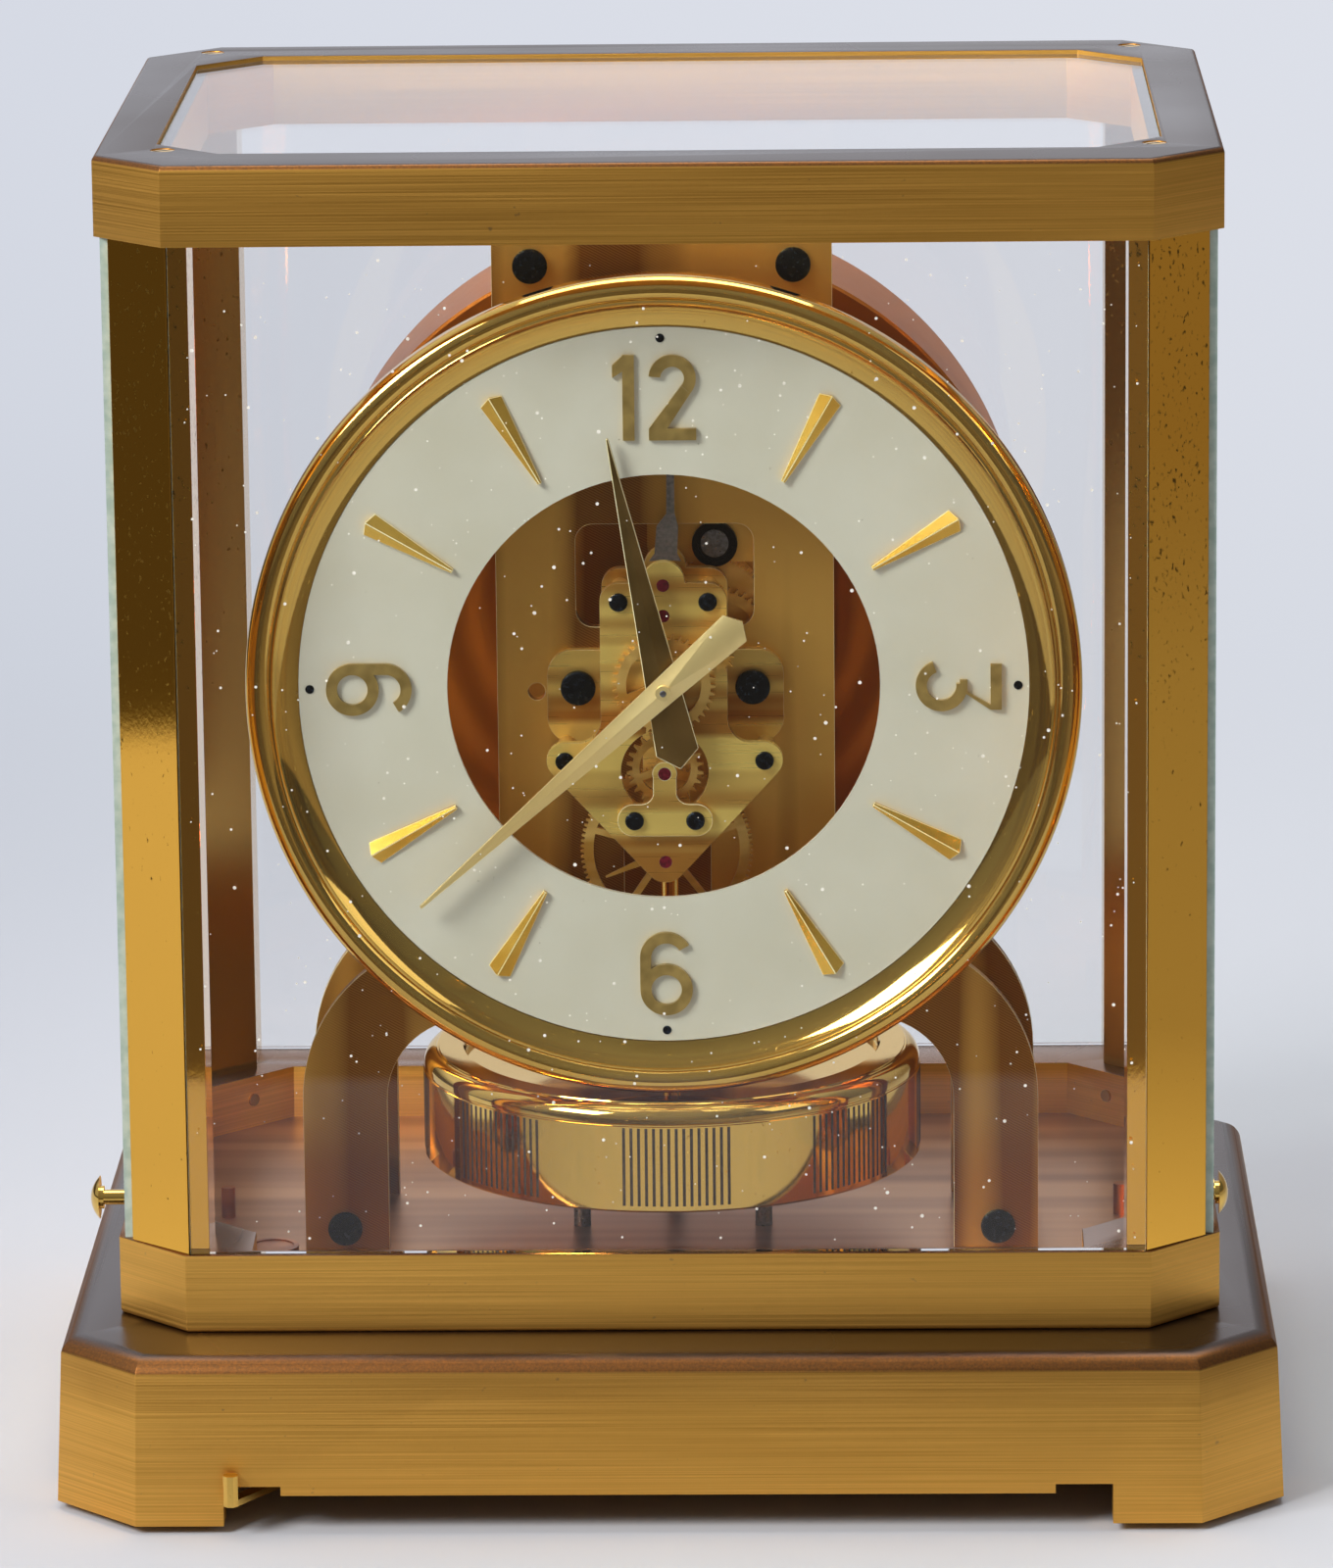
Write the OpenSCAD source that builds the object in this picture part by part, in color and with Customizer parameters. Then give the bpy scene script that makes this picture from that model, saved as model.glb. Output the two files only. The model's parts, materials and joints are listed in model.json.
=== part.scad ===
// Atmospheric clock: an open-dial movement and a torsion pendulum in a glazed brass case.
// Sizes in millimetres. Z is up, the dial faces -Y, and z = 0 is the underside of the feet.

/* [Plinth] */
// Width of the plinth at its bottom edge
plinth_w = 210; // [204:1:216]
// Depth of the plinth at its bottom edge
plinth_d = 165; // [161:1:170]
// Height of the plinth without its feet
plinth_h = 29.3; // [28:0.1:32]
// Corner cut of the plinth, along each side
plinth_cut = 14.5; // [12:0.5:16]
// How far the four sides lean in over their height
draft = 1.2; // [0.6:0.1:1.8]
// Width of the rounded shoulder round the top
shoulder_in = 4; // [3.2:0.1:4.6]
// Height of the rounded shoulder
shoulder_drop = 2.9; // [2:0.1:3]
// Thickness of the plinth's side walls
plinth_wall = 5.5; // [4.5:0.1:6]
// Thickness of the plinth's top
plinth_top = 4; // [3.5:0.1:4.5]
// Height of the gap under the skirt, between the corner legs
skirt_gap = 5.3; // [4:0.1:5.6]
// Width of each corner leg, past the corner cut
leg_w = 15.1; // [12:0.1:17]
// Width of the deeper notch beside each front leg
notch_w = 9.7; // [8:0.1:11]
// How far the feet stand out below the plinth
foot_drop = 1.2; // [0.8:0.1:2]

/* [Case] */
// Width of the case over the sill and the top frame
case_w = 189; // [187:1:191]
// How much less deep the case is than the plinth
step_d = 25; // [22:1:26]
// Corner cut of the case, along each side
case_cut = 12.2; // [11:0.1:13]
// How far the case stands behind the middle of the plinth
case_back = 4; // [2:0.5:5]
// Height of the sill
sill_h = 13.7; // [12.5:0.1:15]
// Thickness of the base plate inside the sill
floor_t = 4.1; // [3.5:0.1:5]
// Clear height of the glass between the sill and the top frame
pane_h = 174; // [171:1:180]
// Height of the top frame
frame_h = 13.7; // [12:0.1:15]
// Thickness of the front, rear and top glass
glass_t = 2; // [1.6:0.1:2.4]
// Thickness of the side glass
side_glass_t = 1.45; // [1.2:0.05:1.6]
// Travel of the two side catches
catch_travel = 3.7; // [3:0.1:4]

/* [Dial] */
// Height of the dial's centre above the base plate, as a share of the panes' clear height
dial_share = 0.6; // [0.595:0.001:0.61]
// Width of the bezel ring round the dial
bezel_w = 9; // [8.6:0.1:9.3]
// Outer radius of the dial ring
dial_r = 62.1; // [61.5:0.1:62.4]
// Inner radius of the dial ring
dial_in = 36.8; // [35.5:0.1:38]
// Length of the minute hand from its centre
minute_l = 56; // [50:0.5:58]
// Length of the hour hand from its centre
hour_l = 44.4; // [38:0.5:46]
// Angle of the minute hand, clockwise from 12
minute_at = 228.2; // [0:0.1:359]
// Angle of the hour hand, clockwise from 12
hour_at = 348.2; // [0:0.1:359]

/* [Movement] */
// Thickness of the front and rear support plates
plate_t = 2.5; // [2:0.1:2.8]
// Half width of the upright part of the plates
column = 29; // [28:0.5:31]
// Width of each leg of the plates
plate_leg = 14.7; // [13:0.1:16]
// Distance from the dial's centre down to the third arbor
third_down = 15.5; // [15.4:0.1:15.8]
// Distance from the third arbor down to the lower arbor
lower_down = 15.8; // [15.6:0.1:16]
// Distance from the dial's centre up to the escape arbor
escape_up = 11.7; // [11.6:0.1:11.9]
// Radial play of the running arbors
play = 0.06; // [0.03:0.01:0.08]

/* [Drum] */
// Outer radius of the bellows drum
drum_r = 62.8; // [61:0.1:64]
// Depth of the bellows drum
drum_d = 32; // [29:0.5:33]
// Height of the drum's centre above the dial's centre
drum_up = 3.7; // [3:0.1:4]

/* [Pendulum] */
// Radius of the pendulum
pend_r = 43.7; // [42.5:0.1:44]
// Height of the pendulum
pend_h = 19; // [18:0.5:20]
// Engraved lines in each of the eight groups
lines = 15; // [9:2:15]

/* [Hidden] */
$fn = 64;
z_base = foot_drop;
z_top = z_base + plinth_h;
z_floor = z_top + floor_t;
z_sill = z_top + sill_h;
z_frame = z_sill + pane_h;
z_end = z_frame + frame_h;
peg_r = 1.35;
peg_out = 2 * peg_r;
py = peg_out / 2;
bezel_r = dial_r + bezel_w;
case_d = plinth_d - step_d;
dial_up = dial_share * pane_h;
zd = z_floor + dial_up;
cy = py + case_back;
hx = case_w / 2;
hy = case_d / 2;
// sill and frame openings
side_bar = 9;
front_bar = 15.2;
sill_cut = 14;
lid_x = hx - 10;
lid_y = hy - 12.9;
lid_cut = 11.1;
// pillar section, from the middle of the case
pil_front = hx - case_cut;
rebate = 2.9;
glass_x = pil_front - 0.7;
flank = hx - 2.5;
// movement planes, measured from the middle of the case
fp = -33;
rp = 2;
pend_y = -15;
pend_top = zd - bezel_r - 0.6;
pend_bot = pend_top - pend_h;
arch_z = pend_top - 5.6;
arch_r = 29.3;
leg_out = 64;
leg_x = leg_out - 7;
mark_in = dial_in + 4.2;
mark_out = dial_r - 4.1;
num_r = dial_r - 12;
carrier_at = [22 / 62.1 * dial_r, 52 / 62.1 * dial_r];
plate_top = z_frame - 4;
// arbors in the plane of the dial: x and height from the dial's centre
motion_d = 10.6;
motion_a = 25;
motion = [motion_d * cos(motion_a), motion_d * sin(motion_a)];
third = [0, -third_down];
lower = [0, -third_down - lower_down];
escape = [0, escape_up];
pallet = [0, escape_up + 5.3];
barrel_d = 11.46;
barrel_a = 45.7;
barrel = [barrel_d * cos(barrel_a), barrel_d * sin(barrel_a)];
drum_y = rp + plate_t + 1.5;
drum_z = zd + drum_up;
foot_at = [plinth_w / 2 - 17, plinth_d / 2 - 16.5];
case_screw_at = [hx - 10, hy - 10.5];
pins_at = [[-16, -3], [16, -3], [0, 17]];
lever_at = [-58, -plinth_d / 2 + 22.5];
lever_end = [-plinth_w / 2 + plinth_cut + leg_w + 1.4, -plinth_d / 2 - peg_out + peg_r * cos(22.5)];

// helpers

// places its children on the plinth's centre
module on_plinth()
    translate([0, py, z_base]) children();

// places its children on the middle of the case, heights from the feet
module in_case()
    translate([0, cy, 0]) children();

// eight-sided outline from half sizes and a corner cut
module octo(x, y, c)
    polygon([[x, -y + c], [x, y - c], [x - c, y], [-x + c, y],
        [-x, y - c], [-x, -y + c], [-x + c, -y], [x - c, -y]]);

// corner cut of an outline that lies a distance inside another one
function inner_cut(x, y, c, dx, dy, dk) =
    (x - dx) + (y - dy) - sqrt(2) * ((x + y - c) / sqrt(2) - dk);

// flat shape in the plane of the dial, from y0 (front) back to y1
module slab(y0, y1)
    translate([0, y1, 0]) rotate([90, 0, 0]) linear_extrude(y1 - y0) children();

// round rod along Y
module rod(x, z, r, y0, y1)
    translate([x, y1, z]) rotate([90, 0, 0]) cylinder(h = y1 - y0, r = r);

// post along Z
module post(x, y, r, z0, z1)
    translate([x, y, z0]) cylinder(h = z1 - z0, r = r);

// part of a flat ring between two angles less than 180 degrees apart
module arc_part(r, w, a0, a1) {
    m = (a0 + a1) / 2;
    f = 1.6 * r;
    intersection() {
        difference() {
            circle(r);
            circle(r - w);
        }
        polygon([[0, 0], [f * cos(a0), f * sin(a0)], [2 * f * cos(m), 2 * f * sin(m)],
            [f * cos(a1), f * sin(a1)]]);
    }
}

// gear outline: teeth, pitch radius, angle of one tooth
module gear(n, r, a) {
    m = 2 * r / n;
    ra = r + 0.8 * m;
    rr = r - 1.15 * m;
    p = 360 / n;
    rotate(a)
        polygon([for (i = [0:n - 1], k = [0:3])
            let (t = i * p + [-0.255, -0.085, 0.085, 0.255][k] * p, q = (k == 0 || k == 3) ? rr : ra)
            [q * cos(t), q * sin(t)]]);
}

// wheel with a rim, a hub and straight spokes cut from a toothed disc
module spoked(r_in, r_hub, spokes, w) {
    difference() {
        children();
        difference() {
            circle(r_in);
            circle(r_hub);
            for (i = [0:spokes - 1])
                rotate(i * 360 / spokes + 20) translate([0, -w / 2]) square([r_in + 1, w]);
        }
    }
}

// cross head screw body: head in front, slot across it
module slotted(r, h, slot)
    difference() {
        cylinder(h = h, r = r);
        translate([-r - 1, -slot / 2, h - 0.5]) cube([2 * r + 2, slot, 1]);
    }

// plinth

module plinth_side(half) {
    zs = plinth_h - shoulder_drop;
    xs = half - draft;
    xt = xs - shoulder_in;
    r = (shoulder_in * shoulder_in + shoulder_drop * shoulder_drop) / (2 * shoulder_drop);
    difference() {
        polygon([[-half, 0], [half, 0], [xs, zs], [xs, plinth_h], [-xs, plinth_h], [-xs, zs]]);
        for (s = [-1, 1])
            difference() {
                translate([s > 0 ? xt : -xs - 1, zs]) square([shoulder_in + 1, shoulder_drop + 1]);
                translate([s * xt, plinth_h - r]) circle(r);
            }
    }
}

module plinth_body() {
    x = plinth_w / 2;
    y = plinth_d / 2;
    k = (x + y - plinth_cut) / sqrt(2);
    l = 2 * (x + y);
    intersection() {
        rotate([90, 0, 0]) linear_extrude(l, center = true) plinth_side(x);
        rotate([90, 0, 90]) linear_extrude(l, center = true) plinth_side(y);
        rotate([90, 0, 45]) linear_extrude(l, center = true) plinth_side(k);
        rotate([90, 0, 135]) linear_extrude(l, center = true) plinth_side(k);
    }
}

module plinth() color([0.72, 0.56, 0.25]) on_plinth() {
    x = plinth_w / 2;
    y = plinth_d / 2;
    xi = x - plinth_wall;
    yi = y - plinth_wall;
    cut = inner_cut(x, y, plinth_cut, plinth_wall, plinth_wall, plinth_wall);
    roof = plinth_h - plinth_top;
    fx = x - plinth_cut - leg_w;
    fy = y - plinth_cut - leg_w;
    difference() {
        union() {
            difference() {
                plinth_body();
                translate([0, 0, -1]) linear_extrude(roof + 1) octo(xi, yi, cut);
            }
            for (s = [-1, 1])
                post(s * foot_at[0], -foot_at[1], 6, 6, roof + 1);
            post(lever_at[0], lever_at[1], 4, skirt_gap + 0.2, roof + 1);
        }
        translate([-fx, -y - 1, -1]) cube([2 * fx, 2 * y + 2, skirt_gap + 1]);
        translate([-x - 1, -fy, -1]) cube([2 * x + 2, 2 * fy, skirt_gap + 1]);
        for (s = [-1, 1])
            translate([s > 0 ? fx - notch_w : -fx, -y - 1, -1]) cube([notch_w, plinth_wall + 2, skirt_gap + 2.6]);
        for (s = [-1, 1]) {
            post(s * foot_at[0], -foot_at[1], 2.5 + play, 0, 22);
            for (t = [-1, 1])
                post(s * case_screw_at[0], case_back + t * case_screw_at[1], 1.6, roof - 1, plinth_h + 1);
        }
        post(0, foot_at[1], 2.5, roof - 1, plinth_h + 1);
        post(lever_at[0], lever_at[1], 1.5, skirt_gap - 1, 20);
        for (p = pins_at)
            post(p[0], case_back + pend_y + p[1], 1.5 + play, roof - 1, plinth_h + 1);
    }
}

// levelling foot: a disc on a threaded stem
module levelling_foot(s) on_plinth() {
    post(s * foot_at[0], -foot_at[1], 7, -foot_drop, 3);
    post(s * foot_at[0], -foot_at[1], 2.5, 2.9, 20);
}

module foot_left() color([0.6, 0.47, 0.22]) levelling_foot(-1);

module foot_right() color([0.6, 0.47, 0.22]) levelling_foot(1);

module foot_rear() color([0.6, 0.47, 0.22]) on_plinth() {
    post(0, foot_at[1], 7, -foot_drop, plinth_h - plinth_top);
    post(0, foot_at[1], 2.5, plinth_h - plinth_top - 0.1, plinth_h - 0.5);
}

module case_screws() color([0.5, 0.5, 0.52]) {
    roof = z_base + plinth_h - plinth_top;
    for (s = [-1, 1], t = [-1, 1])
        translate([s * case_screw_at[0], cy + t * case_screw_at[1], 0]) {
            translate([0, 0, roof]) mirror([0, 0, 1]) slotted(3, 2.2, 0.8);
            post(0, 0, 1.5, roof - 0.1, z_sill + 8);
        }
}

module lever_shape() {
    d = lever_end - lever_at;
    l = norm(d);
    a = atan2(d[1], d[0]);
    translate(lever_at) {
        circle(4);
        rotate(a) translate([0, -1.2]) square([l, 2.4]);
        rotate(a + 205) translate([0, -1.8]) square([18, 3.6]);
    }
}

module lock_lever() color([0.8, 0.62, 0.28]) on_plinth() {
    difference() {
        union() {
            translate([0, 0, skirt_gap - 1.1]) linear_extrude(1.1) lever_shape();
            translate([lever_end[0], lever_end[1], skirt_gap - 1.1])
                rotate([0, 0, 22.5]) cylinder(h = 5.4, r = peg_r, $fn = 8);
        }
        post(lever_at[0], lever_at[1], 1.5 + play, 0, 10);
    }
}

module lever_pivot() color([0.5, 0.5, 0.52]) on_plinth() {
    post(lever_at[0], lever_at[1], 1.5, skirt_gap - 1.3, 18);
    translate([lever_at[0], lever_at[1], skirt_gap - 1.2]) mirror([0, 0, 1]) slotted(3, 1.8, 0.8);
}

// plate under the plinth's top with three pins that lift against the pendulum
module lift_plate() color([0.7, 0.55, 0.3]) on_plinth() {
    c = case_back + pend_y;
    z0 = plinth_h - plinth_top - 10;
    translate([0, c + 4, z0]) cylinder(h = 2, r = 24);
    for (p = pins_at)
        post(p[0], c + p[1], 1.5, z0 + 1.9, pend_bot - z_base - 1.8);
}

// case

module case_side(half, r, h, up) {
    c = 1.06 * r; // a little over r, so that the rounding ends in a fine visible line
    difference() {
        translate([-half, 0]) square([2 * half, h]);
        for (s = [-1, 1])
            difference() {
                translate([s > 0 ? half - r : -half - 1, up ? h - r : -1]) square([r + 1, r + 1]);
                translate([s * (half - c), up ? h - c : c]) circle(sqrt(c * c + (c - r) * (c - r)));
            }
    }
}

// outer form of the sill and the top frame, with one small rounded edge
module case_ring(h, r, up) {
    k = (hx + hy - case_cut) / sqrt(2);
    l = 2 * (hx + hy);
    intersection() {
        rotate([90, 0, 0]) linear_extrude(l, center = true) case_side(hx, r, h, up);
        rotate([90, 0, 90]) linear_extrude(l, center = true) case_side(hy, r, h, up);
        rotate([90, 0, 45]) linear_extrude(l, center = true) case_side(k, 1.15 * r, h, up);
        rotate([90, 0, 135]) linear_extrude(l, center = true) case_side(k, 1.15 * r, h, up);
    }
}

// opening of the sill, wider in front, where the sill carries only the pane
module sill_opening() {
    w = 2 * (hx - side_bar - sill_cut - 0.5);
    octo(hx - side_bar, hy - front_bar, sill_cut);
    translate([-w / 2, -hy + rebate + 0.9]) square([w, front_bar]);
}

module base_plate() color([0.74, 0.52, 0.38]) in_case()
    difference() {
        translate([0, 0, z_top]) linear_extrude(floor_t) sill_opening();
        for (p = pins_at)
            post(p[0], pend_y + p[1], 1.5 + play, z_top - 1, z_floor + 1);
        for (s = [-1, 1])
            post(s * (hx - 15.5), -12, 1.25, z_floor - 2, z_floor + 1);
    }

module sill() color([0.72, 0.56, 0.25]) in_case()
    difference() {
        translate([0, 0, z_top]) case_ring(sill_h, 0.8, false);
        translate([0, 0, z_top - 1]) linear_extrude(sill_h + 2) sill_opening();
        for (s = [-1, 1], t = [-1, 1])
            post(s * case_screw_at[0], t * case_screw_at[1], 1.6, z_top - 1, z_sill + 1);
        plug_holes();
    }

module plug_holes()
    for (s = [-1, 1])
        translate([s * (hx - side_bar - sill_cut / 2), hy - front_bar - sill_cut / 2, z_sill - 4.4])
            rotate([0, 90, s > 0 ? 45 : 135]) translate([0, 0, -1]) cylinder(h = 4, r = 1.1);

module sill_plugs() color([0.6, 0.5, 0.3]) in_case()
    for (s = [-1, 1])
        translate([s * (hx - side_bar - sill_cut / 2), hy - front_bar - sill_cut / 2, z_sill - 4.4])
            rotate([0, 90, s > 0 ? 45 : 135]) translate([0, 0, -0.4]) cylinder(h = 3.4, r = 1.1);

// section of the front left pillar, from the middle of the case
module pillar_section() {
    e = 0.3;
    k = hx + hy - case_cut - 0.4;
    polygon([[e + hy - k, e - hy], [-glass_x, e - hy], [-glass_x, -hy + rebate], [-glass_x + 3.4, -hy + rebate],
        [-glass_x + 3.4, -hy + 16], [-glass_x - 4.4, -hy + 23.8], [-flank, -hy + 23.8], [-flank, flank - k]]);
}

module pillars() color([0.78, 0.6, 0.25]) in_case()
    difference() {
        for (s = [0, 1], t = [0, 1])
            mirror([s, 0, 0]) mirror([0, t, 0])
                translate([0, 0, z_sill]) linear_extrude(pane_h) pillar_section();
        for (s = [-1, 1], t = [-1, 1])
            post(s * case_screw_at[0], t * case_screw_at[1], 1.5, z_sill - 1, z_sill + 9);
        for (p = top_screw_at)
            post(p[0], p[1], 1.2, z_frame - 8, z_frame + 1);
        for (s = [-1, 1])
            along_catch(s) {
                translate([0, 0, flank - 5]) cylinder(h = 9, r = 2);
                translate([0, 0, flank - 16]) cylinder(h = 16, r = 1.3 + play);
            }
    }

top_screw_at = [[-hx + 11.5, -hy + 17.5], [hx - 11.5, -hy + 17.5], [-hx + 11.7, hy - 7.5], [hx - 11.7, hy - 7.5]];

module top_frame() color([0.7, 0.54, 0.25]) in_case()
    difference() {
        translate([0, 0, z_frame]) case_ring(frame_h, 1, true);
        translate([0, 0, z_frame - 1]) linear_extrude(frame_h + 2) octo(lid_x - 2, lid_y - 2, lid_cut);
        translate([0, 0, z_end - glass_t - 0.7]) linear_extrude(glass_t + 2) octo(lid_x, lid_y, lid_cut);
        for (p = top_screw_at) {
            post(p[0], p[1], 1.3, z_frame - 1, z_end + 1);
            post(p[0], p[1], 2.05, z_end - 1.4, z_end + 1);
        }
    }

module top_screws() color([0.8, 0.62, 0.28]) in_case()
    for (p = top_screw_at)
        translate([p[0], p[1], 0]) {
            translate([0, 0, z_end - 1.4]) rotate([0, 0, 35]) slotted(2, 1.3, 0.6);
            post(0, 0, 1.2, z_frame - 7, z_end - 1.3);
        }

module top_glass() color([0.85, 0.92, 0.92, 0.35]) in_case()
    translate([0, 0, z_end - glass_t - 0.7]) linear_extrude(glass_t) octo(lid_x - 0.1, lid_y - 0.1, lid_cut);

// front pane stands on the sill inside the pillars' rebates
module pane(t)
    translate([-glass_x + 0.08, -hy + rebate - t, z_sill]) cube([2 * glass_x - 0.16, t, pane_h]);

module front_glass() color([0.85, 0.92, 0.92, 0.35]) in_case() pane(glass_t);

module rear_glass() color([0.85, 0.92, 0.92, 0.35]) in_case() mirror([0, 1, 0]) pane(glass_t);

module side_pane(s)
    difference() {
        translate([s > 0 ? flank : -flank - side_glass_t, -hy + case_cut - 0.9, z_sill])
            cube([side_glass_t, case_d - 2 * case_cut + 1.8, pane_h]);
        along_catch(s) translate([0, 0, flank - 1]) cylinder(h = 6, r = 2.05);
    }

module side_glasses() color([0.82, 0.92, 0.9, 0.35]) in_case() {
    side_pane(-1);
    side_pane(1);
}

// turns its children so that +Z runs outward along a side catch
module along_catch(s)
    translate([0, -hy + 20.7, z_sill + 4.6]) rotate([0, s * 90, 0]) children();

// bushes of the side catches, through the panes into the pillars
module knob_bushes() color([0.7, 0.55, 0.25]) in_case()
    for (s = [-1, 1])
        along_catch(s)
            difference() {
                union() {
                    translate([0, 0, flank - 5]) cylinder(h = 5 + side_glass_t + 0.1, r = 2);
                    translate([0, 0, flank + side_glass_t]) cylinder(h = 0.35, r = 2.9);
                }
                translate([0, 0, flank - 6]) cylinder(h = 12, r = 1.3 + play);
            }

// push-pull catch with its outer end at e
module catch_rod(s, e)
    along_catch(s) {
        translate([0, 0, e - 13]) cylinder(h = 12, r = 1.3);
        translate([0, 0, e - 2.3]) cylinder(h = 0.8, r = 2);
        intersection() {
            translate([0, 0, e - 1.6]) cylinder(h = 1.6, r = 3.85);
            translate([0, 0, e - 5.2]) sphere(5.2);
        }
    }

module knob_left() color([0.75, 0.5, 0.28]) in_case()
    catch_rod(-1, flank + side_glass_t + 2.85 + catch_travel);

module knob_right() color([0.75, 0.5, 0.28]) in_case()
    catch_rod(1, flank + side_glass_t + 2.85);

// bull's-eye level on the base plate
module level() color([0.8, 0.75, 0.5]) in_case()
    translate([-hx + 25, -hy + front_bar + 18.8, 0]) {
        difference() {
            post(0, 0, 4.5, z_floor, z_floor + 1.8);
            post(0, 0, 3.6, z_floor + 0.6, z_floor + 3);
        }
        post(0, 0, 3.6, z_floor + 0.6, z_floor + 1.6);
    }

module floor_posts() color([0.72, 0.42, 0.25]) in_case()
    for (s = [-1, 1])
        post(s * (hx - 15.5), -12, 1.25, z_floor - 2, z_floor + 5.5);

// support plates

module plate_outline() {
    xc = leg_out - arch_r;
    ri = arch_r - plate_leg;
    difference() {
        union() {
            translate([-column, arch_z]) square([2 * column, plate_top - arch_z]);
            translate([-leg_out, z_floor]) square([2 * leg_out, arch_z - z_floor]);
            translate([-xc, arch_z - 1]) square([2 * xc, arch_r + 1]);
            for (s = [-1, 1])
                intersection() {
                    translate([s * xc, arch_z]) circle(arch_r);
                    translate([-leg_out, arch_z - 1]) square([2 * leg_out, arch_r + 2]);
                }
        }
        for (s = [-1, 1])
            translate([s * xc, arch_z]) circle(ri);
        translate([-xc, arch_z - 1]) square([2 * xc, ri + 1]);
        translate([plate_leg - leg_out, z_floor - 1]) square([2 * (leg_out - plate_leg), arch_z - z_floor + 1]);
    }
}

// flat shape around the dial's centre
module at_dial()
    translate([0, zd]) children();

// rectangle with rounded corners
module soft_square(x0, y0, x1, y1, r) {
    translate([x0 + r, y0]) square([x1 - x0 - 2 * r, y1 - y0]);
    translate([x0, y0 + r]) square([x1 - x0, y1 - y0 - 2 * r]);
    for (x = [x0 + r, x1 - r], y = [y0 + r, y1 - r])
        translate([x, y]) circle(r);
}

module front_plate() color([0.76, 0.6, 0.34]) in_case()
    difference() {
        slab(fp, fp + plate_t) difference() {
            plate_outline();
            at_dial() {
                soft_square(-15.3, 6.7, 15.3, 24.7, 3);
                soft_square(-7.5, -46, 7.5, -25, 2);
                circle(1.2 + play);
                translate(motion) circle(0.5 + play);
                translate([-22.2, -4.6]) circle(1.5);
                for (s = [-1, 1])
                    translate([s * 15, -3.4]) circle(1.6);
            }
        }
        screw_holes(fp - 1, fp + plate_t + 1);
    }

module rear_plate() color([0.76, 0.6, 0.34]) in_case()
    difference() {
        slab(rp, rp + plate_t) plate_outline();
        screw_holes(rp - 1, rp + plate_t + 1);
    }

module screw_holes(y0, y1)
    for (s = [-1, 1]) {
        rod(s * 22.4, plate_top - 5.6, 1.5, y0, y1);
        rod(s * leg_x, z_floor + 3.9, 1.5, y0, y1);
    }

// four screws through the front plate and four through the rear one
module plate_screws() color([0.12, 0.14, 0.2]) in_case()
    for (s = [-1, 1], p = [[22.4, plate_top - 5.6], [leg_x, z_floor + 3.9]]) {
        rod(s * p[0], p[1], 1.5, fp - 0.1, fp + plate_t + 6);
        rod(s * p[0], p[1], 3, fp - 1.2, fp);
        rod(s * p[0], p[1], 1.5, rp - 6, rp + plate_t + 0.1);
        rod(s * p[0], p[1], 3, rp + plate_t, rp + plate_t + 1.2);
    }

// head block between the plates, and foot blocks behind their legs
module blocks() color([0.7, 0.55, 0.3]) in_case()
    difference() {
        union() {
            translate([-26, fp + plate_t, plate_top - 13]) cube([52, rp - fp - plate_t, 12]);
            for (s = [-1, 1], y = [fp + plate_t, rp - 9])
                translate([s * leg_x - 5, y, z_floor]) cube([10, 9, 8]);
        }
        screw_holes(fp, fp + plate_t + 6);
        screw_holes(rp - 6, rp + 1);
    }

// dial

module bezel() color([0.85, 0.68, 0.3]) in_case()
    translate([0, fp - 15.7, zd]) rotate([90, 0, 0]) rotate_extrude() bezel_profile();

module bezel_profile()
    difference() {
        union() {
            translate([dial_r - 0.9, 0]) square([bezel_r - dial_r + 0.9, 3.05]);
            translate([dial_r - 0.9, 0]) square([bezel_r - dial_r - 3, 4.2]);
            translate([dial_r - 0.9, 0]) square([bezel_r - dial_r - 3.7, 4.5]);
            translate([bezel_r - 2.25, 3.05]) circle(2.25);
        }
        translate([dial_r - 3, 1.3]) square([3.1, 10]);
        translate([dial_r - 1.5, 11.3]) circle(9);
    }

module dial() color([0.93, 0.9, 0.8]) in_case()
    slab(fp - 18, fp - 17) at_dial()
        difference() {
            circle(dial_r);
            circle(dial_in);
            for (a = [0:90:270])
                rotate(a) translate([dial_r - 1.9, 0]) circle(0.75);
        }

module dial_pins() color([0.3, 0.2, 0.12]) in_case()
    slab(fp - 18.15, fp - 15.7) at_dial()
        for (a = [0:90:270])
            rotate(a) translate([dial_r - 1.9, 0]) circle(0.75);

// ring behind the dial on four posts from the front plate
module dial_carrier() color([0.7, 0.55, 0.3]) in_case() {
    slab(fp - 15.7, fp - 14.2) at_dial()
        difference() {
            circle(bezel_r - 1.2);
            circle(dial_r - 9.1);
        }
    for (s = [-1, 1], t = [-1, 1])
        rod(s * carrier_at[0], zd + t * carrier_at[1], 3, fp - 14.3, fp);
}

// numerals, 14.6 high, drawn round their own centre with stroke w
module glyph_one(w)
    translate([-w / 2, -7.3]) {
        square([w, 14.6]);
        polygon([[0.2, 14.6], [-1.7, 12.9], [-1.7, 10.7], [0.2, 12]]);
    }

module glyph_two(w) {
    translate([0, 3.3]) arc_part(4, w, -40, 80);
    translate([0, 3.3]) arc_part(4, w, 70, 175);
    polygon([[3.06, 0.73], [1.5, 2.0], [-4, -5.3], [-4, -7.3], [-2.2, -7.3]]);
    translate([-4, -7.3]) square([8, w]);
}

module glyph_three(w) {
    translate([-3.8, 7.3 - w]) square([7.9, w]);
    polygon([[4.1, 5.4], [4.1, 7.0], [1.0, 1.5], [-1.1, 1.5], [-1.1, 0.2], [0.6, 0.2]]);
    translate([-0.1, -2.9]) arc_part(4.4, w, -10, 98);
    translate([-0.1, -2.9]) arc_part(4.4, w, -160, 0);
}

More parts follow.
